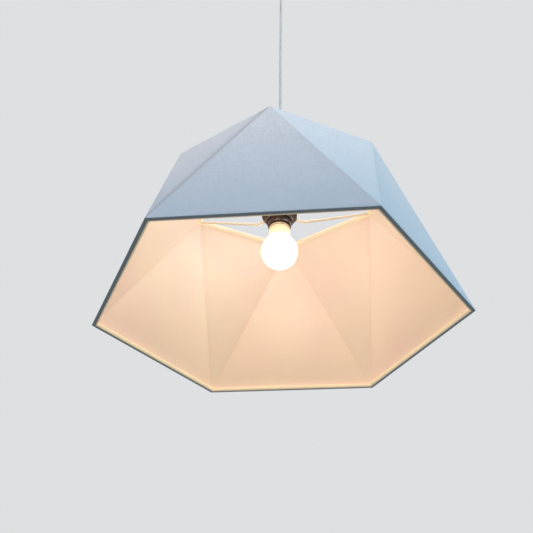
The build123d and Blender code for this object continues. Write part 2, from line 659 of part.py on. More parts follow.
fixing_room = block_rod(BEYOND, block_floor - BEYOND, BLOCK_SCREW_R + SEAT)
add("ceiling_bracket", bracket - fixing_room)
side_screws = []
for side in (-1, 1):
    shank = side_screw(side, SIDE_SCREW_R - SEAT, ear_inner, CANOPY_R + SEAT)
    head = side_screw(side, SIDE_SCREW_HEAD_R, CANOPY_R + SEAT, CANOPY_R + SEAT + SIDE_SCREW_HEAD)
    side_screws.append(shank + head)
add("canopy_screws", *side_screws)

# Cord gland in the cup's floor
gland_outline = [
    (GLAND_BORE_R, -SHANK_TOP),
    (GLAND_SHANK_R, -SHANK_TOP),
    (GLAND_SHANK_R, cup_low),
    (GLAND_R + GLAND_FLANGE_OUT, cup_low),
    (GLAND_R + GLAND_FLANGE_OUT, cup_low - GLAND_FLANGE),
    (GLAND_R, cup_low - GLAND_FLANGE),
    (GLAND_BORE_R + GLAND_TIP_WALL, -GLAND_MOUTH),
    (GLAND_BORE_R, -GLAND_MOUTH),
]
gland_screw_z = -(CANOPY_HEIGHT + GLAND_LENGTH / 2)
gland_screw_reach = [CORD_R + GRIP_GAP, GLAND_R + GRIP_SCREW_R]
gland_screw_room = radial_screw([0, gland_screw_reach[1]], gland_screw_z, GRIP_SCREW_R + SEAT)
add("cord_gland", turned(gland_outline) - gland_screw_room)
add("gland_screw", radial_screw(gland_screw_reach, gland_screw_z, GRIP_SCREW_R))
nut_flat = GLAND_SHANK_R + GLAND_NUT_WALL
nut_face = RegularPolygon(nut_flat, 6, major_radius=False) - Circle(GLAND_SHANK_R + SEAT)
add("gland_nut", Pos(0, 0, cup_low + CANOPY_WALL) * extrude(nut_face, amount=GLAND_NUT))

# Terminal block under the bracket's tab, and the cord's two cores in it
housing = block((BLOCK_X, BLOCK_Y, BLOCK_Z), (0, BLOCK_CENTRE_Y, block_floor + BLOCK_Z / 2)) - fixing_room
screw_tip, screw_foot = -TUBE_DEPTH - CORE_R - SEAT, block_floor + SEAT


def pole_rod(x, length, radius):
    """A round rod along one pole's tube, centred on the block."""
    return rod([(x, BLOCK_CENTRE_Y + way * length / 2, -TUBE_DEPTH) for way in (-1, 1)], radius)


brass_tubes, pole_screws = [], []
for x in (-POLE_X, POLE_X):
    housing -= pole_rod(x, BLOCK_Y + BEYOND, TUBE_R + SEAT)
    brass = pole_rod(x, TUBE_LENGTH, TUBE_R) - pole_rod(x, BLOCK_Y, TUBE_BORE_R)
    for way in (-1, 1):
        y = BLOCK_CENTRE_Y + way * BLOCK_SCREW_PITCH / 2
        housing -= rod([(x, y, screw_tip), (x, y, block_floor - BEYOND)], BLOCK_SCREW_R + SEAT)
        brass -= rod([(x, y, -TUBE_DEPTH), (x, y, screw_foot)], BLOCK_SCREW_R + SEAT)
        pole_screws.append(rod([(x, y, screw_tip), (x, y, screw_foot)], BLOCK_SCREW_R))
    brass_tubes.append(brass)
add("terminal_housing", housing)
add("terminal_tubes", *brass_tubes)
add("terminal_screws", *pole_screws)
fixing_shank = block_rod(-SEAT, block_floor, BLOCK_SCREW_R)
add("block_screw", fixing_shank + block_rod(block_floor, block_floor - FIXING_HEAD, FIXING_HEAD_R))


def ceiling_core(side):
    """One insulated core from the sheath's end into its brass tube."""
    start_x, pole_x = side * CORE_X, side * POLE_X
    entry = BLOCK_CENTRE_Y - BLOCK_Y / 2
    rise = (STUB_TOP - TUBE_DEPTH) / 2
    route = [
        (start_x, 0, -STUB_TOP),
        (start_x, 0, -STUB_TOP + rise),
        (pole_x, entry / 2, -TUBE_DEPTH),
        (pole_x, BLOCK_CENTRE_Y, -TUBE_DEPTH),
    ]
    return rod(route, CORE_R, CORE_TURN_R)


add("ceiling_live_core", ceiling_core(1))
add("ceiling_neutral_core", ceiling_core(-1))

os.makedirs("parts", exist_ok=True)
for name, shape in parts.items():
    shape.label = name
    export_step(shape, f"parts/{name}.step")
drop_volume = math.pi * CORD_R**2 * (cord_end - SECOND_PIVOT) + 2 / 3 * math.pi * CORD_R**3
print("nodes", len(parts), "and the cord has no turns")
print("cord drop volume", round(parts["cord_drop"].volume), "of", round(drop_volume))
print("pivots", -FIRST_PIVOT, -SECOND_PIVOT, "cord end", round(-cord_end, 3))
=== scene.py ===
import json
import math

import bmesh
import bpy
from mathutils import Matrix, Vector, noise


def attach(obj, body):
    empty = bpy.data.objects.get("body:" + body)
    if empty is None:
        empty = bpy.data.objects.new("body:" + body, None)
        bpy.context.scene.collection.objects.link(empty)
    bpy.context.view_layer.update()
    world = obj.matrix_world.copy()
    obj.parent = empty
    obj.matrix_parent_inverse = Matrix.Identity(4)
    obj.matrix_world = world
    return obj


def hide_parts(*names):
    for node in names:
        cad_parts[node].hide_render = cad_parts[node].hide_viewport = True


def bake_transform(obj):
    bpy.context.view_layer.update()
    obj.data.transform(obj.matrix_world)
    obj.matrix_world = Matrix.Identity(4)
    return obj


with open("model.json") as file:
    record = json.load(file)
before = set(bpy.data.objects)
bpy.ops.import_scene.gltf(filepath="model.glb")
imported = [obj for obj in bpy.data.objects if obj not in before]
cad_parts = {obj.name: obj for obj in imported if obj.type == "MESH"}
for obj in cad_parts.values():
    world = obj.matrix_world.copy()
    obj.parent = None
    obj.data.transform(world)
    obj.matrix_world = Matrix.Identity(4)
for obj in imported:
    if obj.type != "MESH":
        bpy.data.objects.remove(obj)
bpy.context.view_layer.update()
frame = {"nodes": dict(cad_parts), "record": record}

# A pendant light seen from below: a six-sided faceted shade on three wire arms, its holder and lit bulb, the
# cord and the ceiling cup. Measures are in millimetres unless a comment says metres, and turned into metres
# where a mesh is made. A height is measured up from the shade's lower rim.
MM = 0.001
RIM_Z = -940.0
SHADE_HEIGHT = 277.0
scene = bpy.context.scene
nodes = frame["nodes"]


def above_rim(outline):
    """An outline of (radius, height) points as (radius, z)."""
    return [(point[0], RIM_Z + point[1], *point[2:]) for point in outline]


# Camera, below the lamp and in front of it, in metres
CAMERA_PLACE = (0.0842, -0.9423, -1.5068)
CAMERA_YAW, CAMERA_PITCH, CAMERA_ROLL = (math.radians(a) for a in (6.376, 35.113, 1.0876))
CAMERA_LENS = 47.76

camera = bpy.data.objects.new("camera", bpy.data.cameras.new("camera"))
camera.data.sensor_width = 36.0
camera.data.lens = CAMERA_LENS
aim = Vector((
    -math.sin(CAMERA_YAW) * math.cos(CAMERA_PITCH),
    math.cos(CAMERA_YAW) * math.cos(CAMERA_PITCH),
    math.sin(CAMERA_PITCH),
))
level = Vector((math.cos(CAMERA_YAW), math.sin(CAMERA_YAW), 0))
upward = level.cross(aim)
right = level * math.cos(CAMERA_ROLL) + upward * math.sin(CAMERA_ROLL)
above = upward * math.cos(CAMERA_ROLL) - level * math.sin(CAMERA_ROLL)
turn = Matrix((right, above, -aim)).transposed()
camera.matrix_world = Matrix.Translation(CAMERA_PLACE) @ turn.to_4x4()
scene.collection.objects.link(camera)
scene.camera = camera


# Meshes
WELD = 1e-7  # metres
SHARP = 35.0
ROUNDING_ROOM = 0.49  # of the shorter side next to a corner


def welded(mesh, sharp_angle):
    """Joins points that coincide, and leaves the faces smooth but for edges sharper than the angle."""
    editable = bmesh.new()
    editable.from_mesh(mesh)
    bmesh.ops.remove_doubles(editable, verts=editable.verts, dist=WELD)
    editable.to_mesh(mesh)
    editable.free()
    mesh.polygons.foreach_set("use_smooth", [True] * len(mesh.polygons))
    mesh.set_sharp_from_angle(angle=math.radians(sharp_angle))


def new_piece(name, points, faces, sharp_angle=SHARP):
    """An object made of points in millimetres."""
    mesh = bpy.data.meshes.new(name)
    mesh.from_pydata([Vector(point) * MM for point in points], [], faces)
    if sharp_angle:
        welded(mesh, sharp_angle)
    piece = bpy.data.objects.new(name, mesh)
    scene.collection.objects.link(piece)
    return piece


def bridged(rings, closed=True):
    """Points and quads of a skin over equally long rings. closed also joins the last ring to the first."""
    points = [point for ring in rings for point in ring]
    count = len(rings[0])
    faces = []
    for a in range(len(rings) if closed else len(rings) - 1):
        b = (a + 1) % len(rings)
        for j in range(count):
            k = (j + 1) % count
            faces.append((a * count + j, a * count + k, b * count + k, b * count + j))
    return points, faces


def capped(rings):
    """A skin over the rings, with both of its ends closed."""
    points, faces = bridged(rings, closed=False)
    count = len(rings[0])
    last = len(points) - count
    return points, faces + [tuple(reversed(range(count))), tuple(range(last, last + count))]


def joined(skins):
    """Several skins as one."""
    points, faces = [], []
    for more_points, more_faces in skins:
        base = len(points)
        points += more_points
        faces += [tuple(base + index for index in face) for face in more_faces]
    return points, faces


def finish_piece(piece, body, slot, replaced):
    """Gives a piece that slot's material, hangs it under its body's empty where a body is named, and hides
    the nodes it stands for.
    """
    piece.data.materials.append(finishes[slot])
    if body:
        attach(piece, body)
    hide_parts(*replaced)


def curve_point(start, knee, end, t):
    """The point at t, from 0 to 1, on a curve from start to end that is drawn towards the knee."""
    return start * (1 - t) ** 2 + knee * 2 * t * (1 - t) + end * t**2


def softened(outline, steps=3):
    """A closed outline of (radius, z, rounding) points as (radius, z), with its corners rounded."""
    rounded = []
    corners = [Vector(point[:2]) for point in outline]
    for i, here in enumerate(corners):
        wanted = outline[i][2]
        if not wanted:
            rounded.append(tuple(here))
            continue
        before = corners[i - 1] - here
        after = corners[(i + 1) % len(corners)] - here
        room = min(before.length, after.length) * ROUNDING_ROOM
        before.normalize()
        after.normalize()
        setback = min(wanted / math.tan(before.angle(after) / 2), room)
        start, end = here + before * setback, here + after * setback
        for step in range(steps + 1):
            rounded.append(tuple(curve_point(start, here, end, step / steps)))
    return rounded


def divided(outline, step):
    """The same closed outline with its long runs cut into steps."""
    cut = []
    for i, point in enumerate(outline):
        a, b = Vector(point), Vector(outline[(i + 1) % len(outline)])
        pieces = max(1, math.ceil((b - a).length / step))
        cut += [tuple(a.lerp(b, k / pieces)) for k in range(pieces)]
    return cut


def round_angles(count):
    """The azimuths of that many points once round."""
    return [2 * math.pi * k / count for k in range(count)]


def turned(name, outline, sides, reshape=None):
    """A closed solid turned about Z from an outline of (radius, z). reshape moves a point by its azimuth."""
    angles = round_angles(sides)
    rings = []
    for radius, z in outline:
        ring = []
        for azimuth in angles:
            r, h = reshape(radius, z, azimuth) if reshape else (radius, z)
            ring.append((r * math.cos(azimuth), r * math.sin(azimuth), h))
        rings.append(ring)
    return new_piece(name, *bridged(rings))


def smoothstep(x, low, high):
    """0 up to low, 1 from high on, and a smooth rise between them."""
    t = min(max((x - low) / (high - low), 0.0), 1.0)
    return t * t * (3 - 2 * t)


def within(x, rise, fall):
    """1 between the rise and the fall, each a (low, high) pair, and 0 outside them."""
    return smoothstep(x, *rise) * (1 - smoothstep(x, *fall))


def waved(count, azimuth):
    """A wave from 0 to 1 with that many crests once round."""
    return 0.5 - 0.5 * math.cos(count * azimuth)


def scalloped(count, azimuth):
    """A row of that many round hollows once round, as a depth from 0 to 1."""
    return 1 - abs(math.sin(count / 2 * azimuth))


def thread_wave(height, start, pitch, azimuth):
    """A wave from 0 to 1 that climbs by one pitch a turn."""
    turns = (height - start) / pitch - azimuth / (2 * math.pi)
    return 0.5 + 0.5 * math.cos(2 * math.pi * turns)


# Cord: it hangs straight from the gland to the holder's bush, along the part's route in metres
CORD_R = 2.6
CORD_ROUTE = [(0.0, 0.0, z) for z in (-0.0635, -0.0695, -0.38, -0.7055)]
ROOT_ROUTE = [(0.0, 0.0, z) for z in (-0.0242, -0.044, -0.0635)]
CORD_STEPS, ROOT_STEPS = 120, 24  # in each span of the route
CORD_SIDES = 32
CORE_TWIST = 46.0  # one turn of the two cores under the sheath
CORE_RELIEF = 0.05


def spline_line(name, route, resolution):
    """Points read from the route's own NURBS spline."""
    curve = bpy.data.curves.new(name, "CURVE")
    curve.dimensions = "3D"
    curve.resolution_u = resolution
    spline = curve.splines.new("NURBS")
    spline.points.add(len(route) - 1)
    for target, point in zip(spline.points, route):
        target.co = (*point, 1.0)
    spline.order_u = 3
    spline.use_endpoint_u = True
    holder = bpy.data.objects.new(name, curve)
    line = bpy.data.meshes.new_from_object(holder)
    points = [vertex.co.copy() for vertex in line.vertices]
    bpy.data.objects.remove(holder)
    bpy.data.curves.remove(curve)
    bpy.data.meshes.remove(line)
    return points


def cord_tube(name, line):
    """A closed round tube along a hanging line, with a faint relief of the cores twisted under the sheath."""
    rings = []
    for point in line:
        centre = point / MM
        ring = []
        for azimuth in round_angles(CORD_SIDES):
            lobe = math.cos(2 * (azimuth - 2 * math.pi * centre.z / CORE_TWIST))
            radius = CORD_R - CORE_RELIEF * (1 - lobe) / 2
            x, y = centre.x + radius * math.cos(azimuth), centre.y - radius * math.sin(azimuth)
            ring.append((x, y, centre.z))
        rings.append(ring)
    return new_piece(name, *capped(rings))


cord_line = spline_line("cord_line", CORD_ROUTE, CORD_STEPS)
root_line = spline_line("root_line", ROOT_ROUTE, ROOT_STEPS)
cord_root = cord_tube("cord_root", root_line)
cord = cord_tube("cord", cord_line)


# Shaders. Most of a noise lies near 0.5, so a look is mapped from one of these bands of it.
NARROW, WIDE = (0.35, 0.65), (0.3, 0.7)


class Wiring:
    """The shader nodes of a world or a material under construction."""

    def __init__(self, owner):
        owner.use_nodes = True
        self.tree = owner.node_tree
        self.tree.nodes.clear()

    def feed(self, value, socket):
        """Links a socket to a value, or sets it where the value is a plain number, colour or vector."""
        if hasattr(value, "is_linked"):
            self.tree.links.new(value, socket)
        else:
            socket.default_value = (*value, 1.0) if socket.type == "RGBA" else value

    def add(self, kind, *values, **settings):
        """A node with the values fed to its first sockets, and its settings and other sockets by name."""
        made = self.tree.nodes.new("ShaderNode" + kind)
        for key, value in settings.items():
            if hasattr(made, key):
                setattr(made, key, value)
            else:
                self.feed(value, made.inputs[key.replace("_", " ")])
        for value, socket in zip(values, made.inputs):
            self.feed(value, socket)
        return made

    def split(self, source):
        """A vector's X, Y and Z."""
        return self.add("SeparateXYZ", source).outputs

    def math(self, operation, *values):
        return self.add("Math", *values, operation=operation).outputs[0]

    def ranged(self, value, low, high, start=0.0, end=1.0, kind="LINEAR"):
        """The value from start to end, mapped to low to high and kept there."""
        return self.add("MapRange", value, start, end, low, high, interpolation_type=kind).outputs[0]

    def seen_directly(self):
        """1 for camera, glossy and transmission rays, and 0 for the rest."""
        rays = self.add("LightPath").outputs
        reflected = self.math("MAXIMUM", rays["Is Glossy Ray"], rays["Is Transmission Ray"])
        return self.math("MAXIMUM", rays["Is Camera Ray"], reflected)


class Finish(Wiring):
    """A Principled material under construction. Its pattern sockets are wired in one by one."""

    def __init__(self, name, **constants):
        self.material = bpy.data.materials.new(name)
        super().__init__(self.material)
        self.shader = self.add("BsdfPrincipled", **constants)
        self.add("OutputMaterial", self.shader.outputs[0])
        self.place = self.add("TexCoord").outputs["Object"]

    def attribute(self, name, output="Fac"):
        return self.add("Attribute", attribute_name=name).outputs[output]

    def scaled(self, source, scale):
        """A vector stretched by three scales."""
        return self.add("Mapping", source, Scale=scale).outputs[0]

    def height(self):
        """How high a point is in the part's frame, in metres."""
        return self.split(self.place)["Z"]

    def noise(self, scale, detail, stretch=None, source=None):
        """Noise from 0 to 1, its scale in cells a metre."""
        place = source or self.place
        if stretch:
            place = self.scaled(place, stretch)
        return self.add("TexNoise", place, Scale=scale, Detail=detail).outputs["Fac"]

    def near(self, distance, share, reach):
        """The share where the distance is 0, falling to 0 where it is the reach."""
        return self.ranged(distance, share, 0.0, 0.0, reach)

    def blended(self, share, a, b):
        """A colour between a and b, each a colour or a socket."""
        made = self.add("Mix", share, data_type="RGBA")
        colours = [socket for socket in made.inputs if socket.type == "RGBA"]
        for value, socket in zip((a, b), colours):
            self.feed(value, socket)
        return [socket for socket in made.outputs if socket.type == "RGBA"][0]

    def mottled(self, source, a, b, band=NARROW):
        """A colour that goes from a to b with a noise."""
        return self.blended(self.ranged(source, 0.0, 1.0, *band), a, b)

    def colour(self, source):
        self.feed(source, self.shader.inputs["Base Color"])

    def roughness(self, source, low, high):
        """A roughness that goes from low to high with a noise."""
        self.feed(self.ranged(source, low, high, *WIDE), self.shader.inputs["Roughness"])

    def glow(self, colour, strength):
        self.feed(colour, self.shader.inputs["Emission Color"])
        self.feed(strength, self.shader.inputs["Emission Strength"])

    def bump(self, height, distance, strength):
        """Adds relief of that depth in metres, on top of any relief there already."""
        made = self.add("Bump", Distance=distance, Strength=strength, Height=height)
        normal = self.shader.inputs["Normal"]
        if normal.is_linked:
            self.feed(normal.links[0].from_socket, made.inputs["Normal"])
        self.feed(made.outputs[0], normal)


# Floor, backdrop and lamps, in metres and watts
FLOOR_Z = -2.2
FLOOR_HALF = 9.0
PALE = (0.73, 0.745, 0.76)
FLOOR_BOUNCE = (0.20, 0.19, 0.17)
FLOOR_PALE = (0.545, 0.56, 0.575)
LAMPS = {
    "lamp_right": ((2.65, -0.9, 0.9), 2.2, 57.0, (0.57, 0.88, 1.0)),
    "lamp_left": ((-2.4, -1.9, 1.1), 2.4, 3.0, (1.0, 0.93, 0.90)),
    "lamp_near": ((-0.20, -0.80, -0.15), 0.6, 4.3, (1.0, 0.86, 0.82)),
    "lamp_back": ((0.9, 2.9, 1.0), 2.4, 52.0, (0.94, 0.98, 1.0)),
}
SKY_COLOUR = (0.88, 0.96, 1.0)
SKY_LOW, SKY_HIGH = 0.10, 0.67
SKY_LOW_Z, SKY_HIGH_Z = -0.5, 0.7  # of a direction


def make_world():
    """Sky light that grows with height, and an even pale backdrop where it is seen."""
    scene.world = bpy.data.worlds.new("studio")
    w = Wiring(scene.world)
    height = w.split(w.add("TexCoord").outputs["Generated"])["Z"]
    strength = w.ranged(height, SKY_LOW, SKY_HIGH, SKY_LOW_Z, SKY_HIGH_Z, "SMOOTHSTEP")
    light = w.add("Background", SKY_COLOUR, strength).outputs[0]
    backdrop = w.add("Background", PALE, 1.0).outputs[0]
    w.add("OutputWorld", w.add("MixShader", w.seen_directly(), light, backdrop).outputs[0])


def make_floor():
    """A floor that takes shadows, and is lifted to the backdrop's tone where it is seen."""
    material = bpy.data.materials.new("floor")
    w = Wiring(material)
    shadowed = w.add("BsdfDiffuse", FLOOR_BOUNCE).outputs[0]
    pale = w.add("Emission", FLOOR_PALE, w.seen_directly()).outputs[0]
    w.add("OutputMaterial", w.add("AddShader", shadowed, pale).outputs[0])
    half, z = FLOOR_HALF / MM, FLOOR_Z / MM
    corners = [(-half, -half, z), (half, -half, z), (half, half, z), (-half, half, z)]
    floor = new_piece("floor", corners, [(0, 1, 2, 3)])
    floor.data.materials.append(material)


def make_lamps():
    """The soft round lamps, each turned to the middle of the shade."""
    for name, (place, size, power, colour) in LAMPS.items():
        lamp = bpy.data.lights.new(name, "AREA")
        lamp.shape = "DISK"
        lamp.size = size
        lamp.energy = power
        lamp.color = colour
        holder = bpy.data.objects.new(name, lamp)
        holder.location = place
        target = Vector((0, 0, (RIM_Z + SHADE_HEIGHT / 2) * MM))
        holder.rotation_euler = (target - Vector(place)).to_track_quat("-Z", "Y").to_euler()
        scene.collection.objects.link(holder)


make_world()
make_floor()
make_lamps()
scene.view_settings.view_transform = "Standard"


# Cloth: a colour's share is how much of it is mixed in
CLOTH = (0.645, 0.684, 0.754)
CLOTH_SHADE = (0.506, 0.556, 0.646)
CLOTH_PALE, PALE_SHARE = (0.66, 0.69, 0.73), 0.14
# Painted shade: the cloth turns darker and bluer towards its lower edge, over the lower part of the shade's
# height
CLOTH_LOW_SHADE, LOW_SHADE_SHARE = (0.43, 0.53, 0.66), 0.75
LOW_SHADE_REACH = 0.8  # of the shade's height
# Painted shade, mixed into the cloth along the folds and in the gaps between the threads
CLOTH_PAINTED_SHADE = (0.25, 0.29, 0.35)
GAP_SHADE_SHARE, GAP_RELIEF = 0.05, 0.5  # painted shade in the gaps between the threads
# Painted shade along the folds: a soft band, a wider one on some sides of folds, and a thin line; widths in
# millimetres
CREASE_SHADE_SHARE, CREASE_SHADE_WIDTH = 0.06, 9.0
FOLD_SHADE_SHARE, FOLD_SHADE_WIDTH = 0.55, 30.0
FOLD_LINE_SHADE_SHARE, STRONG_FOLD_LINE_SHADE_SHARE, FOLD_LINE_WIDTH = 0.05, 0.20, 1.6
THREAD_PITCH = 0.0008  # metres
SLUB_LONG, SLUB_SHORT = 70.0, 430.0  # cells a metre, along a thread and across it
# Painted light on the hem's turned-in side, which faces the bulb: a pale warm colour and a glow
HEM_LIT_WHITE = (0.93, 0.845, 0.65)
HEM_GLOW, HEM_GLOW_FULL = (1.0, 0.73, 0.44), 0.44


def cloth_finish():
    """Plain-woven cloth: over-and-under threads, slubs both ways, painted shade along each fold, in the
    thread gaps and low down, and the hem painted lit by the bulb.
    """
    f = Finish("shade_cloth", Sheen_Weight=0.12, Sheen_Roughness=0.5, Specular_IOR_Level=0.25)
    weave = f.attribute("weave", "Vector")
    threads = f.split(f.scaled(weave, (math.pi / THREAD_PITCH,) * 3))
    across, along = (f.math("SINE", threads[axis]) for axis in ("X", "Y"))
    relief = f.math("ABSOLUTE", f.math("MULTIPLY", across, along))
    slub_u = f.noise(1.0, 2.0, (SLUB_LONG, SLUB_SHORT, 1.0), weave)
    slub_v = f.noise(1.0, 2.0, (SLUB_SHORT, SLUB_LONG, 1.0), weave)
    slubs = f.math("ADD", f.math("MULTIPLY", slub_u, 0.5), f.math("MULTIPLY", slub_v, 0.5))
    tone = f.mottled(slubs, CLOTH_SHADE, CLOTH, WIDE)
    tone = f.blended(f.ranged(f.noise(7.0, 2.0), 0.0, PALE_SHARE, *NARROW), tone, CLOTH_PALE)
    # painted shade, darker and bluer towards the lower edge
    low = f.ranged(f.height(), LOW_SHADE_SHARE, 0.0, RIM_Z * MM, (RIM_Z + LOW_SHADE_REACH * SHADE_HEIGHT) * MM)
    tone = f.blended(low, tone, CLOTH_LOW_SHADE)
    fold, fold_shade, hem = (f.attribute(name) for name in ("fold", "fold_shade", "hem"))
    fold_line_shade = f.ranged(fold_shade, FOLD_LINE_SHADE_SHARE, STRONG_FOLD_LINE_SHADE_SHARE)
    # painted shade: in the gaps between the threads, in a soft band along each fold, in a wider band on some
    # fold sides and in a thin line at each fold
    for share in (
        f.near(relief, GAP_SHADE_SHARE, GAP_RELIEF),
        f.near(fold, CREASE_SHADE_SHARE, CREASE_SHADE_WIDTH),
        f.math("MULTIPLY", f.near(fold, FOLD_SHADE_SHARE, FOLD_SHADE_WIDTH), fold_shade),
        f.math("MULTIPLY", f.near(fold, 1.0, FOLD_LINE_WIDTH), fold_line_shade),
    ):
        tone = f.blended(share, tone, CLOTH_PAINTED_SHADE)
    # the hem's turned-in side painted pale and glowing, as if lit by the bulb
    f.colour(f.blended(hem, tone, HEM_LIT_WHITE))
    f.roughness(slubs, 0.78, 0.92)
    f.glow(HEM_GLOW, f.math("MULTIPLY", hem, HEM_GLOW_FULL))
    f.bump(relief, 0.00010, 0.5)
    f.bump(slubs, 0.0003, 0.25)
    return f.material


LINER_TONE = (0.76, 0.655, 0.55)
LINER_DEEP = (0.745, 0.615, 0.54)
# Painted shade along the liner's folds: a soft band and a thin line
LINER_FOLD_SHADE = (0.50, 0.40, 0.35)
LINER_FOLD_SHADE_SHARE, LINER_FOLD_LINE_SHADE_SHARE = 0.10, 0.12
# A painted glow that stands in for the bulb's light on the liner, warmer and pinker by turns
LINER_GLOW_WARM, LINER_GLOW_PINK = (0.92, 0.675, 0.445), (0.92, 0.60, 0.46)
LINER_GLOW = 0.33
GLOW_BAND = (0.38, 0.62)


def liner_finish():
    """Stiff laminate with a satin face, a fine even grain, slight clouding and painted shade along its folds,
    with a painted glow that stands in for the bulb's light on it.
    """
    f = Finish("shade_liner", Specular_IOR_Level=0.5, Coat_Weight=0.08, Coat_Roughness=0.3)
    cloud = f.noise(9.0, 3.0)
    grain = f.noise(900.0, 2.0)
    tone = f.mottled(cloud, LINER_TONE, LINER_DEEP)
    fold = f.attribute("fold")
    # painted shade along the folds
    tone = f.blended(f.near(fold, LINER_FOLD_SHADE_SHARE, CREASE_SHADE_WIDTH), tone, LINER_FOLD_SHADE)
    f.colour(f.blended(f.near(fold, LINER_FOLD_LINE_SHADE_SHARE, FOLD_LINE_WIDTH), tone, LINER_FOLD_SHADE))
    f.roughness(grain, 0.32, 0.44)
    # painted glow standing in for the bulb's light
    f.glow(f.mottled(f.noise(6.0, 2.0), LINER_GLOW_WARM, LINER_GLOW_PINK, GLOW_BAND), LINER_GLOW)
    f.bump(grain, 0.00002, 0.5)
    f.bump(cloud, 0.002, 0.35)
    return f.material


def moulded(f, tone, deep, rough, grain=1400.0, depth=0.000015):
    """Fine grain and a not quite even roughness. Gives back a colour with a slight swirl in it."""
    f.roughness(f.noise(160.0, 3.0), rough - 0.06, rough + 0.08)
    f.bump(f.noise(grain, 2.0), depth, 0.5)
    return f.mottled(f.noise(45.0, 4.0), tone, deep)


def moulded_finish(name, *looks):
    f = Finish(name)
    f.colour(moulded(f, *looks))
    return f.material


def metal_finish(name, tone, deep, rough, scale=220.0, stretch=(1.0, 1.0, 14.0)):
    """Metal with a grain left by drawing or rolling, in patches of slightly different tone."""
    f = Finish(name, Metallic=1.0)
    streaks = f.noise(scale, 3.0, stretch)
    f.colour(f.mottled(f.noise(60.0, 2.0), tone, deep))
    f.roughness(streaks, rough - 0.07, rough + 0.09)
    f.bump(streaks, 0.00001, 0.5)
    return f.material


def coated_finish(name, tone, deep, rough):
    """Powder coat over wire: fine orange peel and a little yellowing."""
    f = Finish(name, Specular_IOR_Level=0.45)
    peel = f.noise(1100.0, 2.0)
    f.colour(f.mottled(f.noise(70.0, 3.0), tone, deep))
    f.roughness(peel, rough - 0.05, rough + 0.07)
    f.bump(peel, 0.00002, 0.3)
    return f.material


GLOW = (0.94, 0.775, 0.55)
GLOW_FULL, GLOW_NECK = 11.2, 2.2
GLOW_YELLOW = (1.0, 0.70, 0.31)
GLOBE_NECK_Z, GLOBE_FULL_Z = -0.7840, -0.7940  # metres


def globe_finish():
    """Opal diffuser, lit: full light on the round and dimmer, yellower light at the neck."""
    f = Finish("bulb_diffuser", Base_Color=(0.90, 0.88, 0.82), Roughness=0.32)
    mottle = f.ranged(f.noise(120.0, 3.0), 0.94, 1.06, *WIDE)
    glow = f.ranged(f.height(), GLOW_FULL, GLOW_NECK, GLOBE_FULL_Z, GLOBE_NECK_Z)
    neck = f.ranged(f.height(), 0.0, 1.0, GLOBE_FULL_Z, GLOBE_NECK_Z)
    f.glow(f.blended(neck, GLOW, GLOW_YELLOW), f.math("MULTIPLY", glow, mottle))
    f.bump(f.noise(1500.0, 2.0), 0.00001, 0.4)
    return f.material


COLLAR_TONE, COLLAR_DEEP = (0.88, 0.82, 0.67), (0.84, 0.76, 0.59)
# Painted glow on the collar near the globe, standing in for the globe's light on it
COLLAR_GLOW = (1.0, 0.77, 0.35)
COLLAR_LIT, COLLAR_DIM = 0.75, 0.06
COLLAR_LIT_Z, COLLAR_DIM_Z = (RIM_Z + 158.0) * MM, (RIM_Z + 177.0) * MM
# A dark brown line along the collar's groove
GROOVE_LINE_TONE = (0.42, 0.19, 0.07)
RING_Z = (RIM_Z + 175.6) * MM
RING_HALF, RING_FADE = 0.0005, 0.0012  # metres


def housing_finish():
    """White moulding with a painted glow near the globe, standing in for the globe's light on it, and a dark
    brown line along its groove.
    """
    f = Finish("bulb_housing")
    plain = moulded(f, COLLAR_TONE, COLLAR_DEEP, 0.36)
    off_ring = f.math("ABSOLUTE", f.math("SUBTRACT", f.height(), RING_Z))
    groove_line = f.ranged(off_ring, 1.0, 0.0, RING_HALF, RING_FADE)
    f.colour(f.blended(groove_line, plain, GROOVE_LINE_TONE))
    glow = f.ranged(f.height(), COLLAR_LIT, COLLAR_DIM, COLLAR_LIT_Z, COLLAR_DIM_Z, "SMOOTHSTEP")
    f.glow(COLLAR_GLOW, f.math("MULTIPLY", glow, f.math("SUBTRACT", 1.0, groove_line)))
    return f.material


SHEATH, SHEATH_SOILED = (0.57, 0.61, 0.64), (0.49, 0.53, 0.56)


def cord_finish():
    """Matt sheath with a faint pebbled skin and light soiling."""
    f = Finish("white_cord", Specular_IOR_Level=0.4)
    f.colour(f.mottled(f.noise(55.0, 4.0), SHEATH, SHEATH_SOILED, (0.4, 0.7)))
    f.roughness(f.noise(300.0, 2.0), 0.48, 0.62)
    f.bump(f.noise(1800.0, 2.0), 0.00002, 0.5)
    return f.material


RESIN, RESIN_SWIRL, RESIN_FLECK = (0.018, 0.006, 0.004), (0.065, 0.024, 0.012), (0.16, 0.065, 0.03)
FLECK_SHARE = 0.4


def bakelite_finish():
    """Dark brown moulding with the warm flecks and cloudy swirl of filled resin, under a gloss."""
    f = Finish("brown_bakelite", Specular_IOR_Level=0.45, Coat_Weight=0.3, Coat_Roughness=0.16)
    tone = f.mottled(f.noise(120.0, 5.0, (1.0, 1.0, 2.2)), RESIN, RESIN_SWIRL, (0.38, 0.66))
    f.colour(f.blended(f.ranged(f.noise(1300.0, 1.0), 0.0, FLECK_SHARE, 0.62, 0.78), tone, RESIN_FLECK))
    f.roughness(f.noise(260.0, 3.0), 0.20, 0.36)
    f.bump(f.noise(700.0, 2.0), 0.00002, 0.4)
    return f.material


MASK, TRACKS = (0.020, 0.105, 0.040), (0.055, 0.20, 0.09)


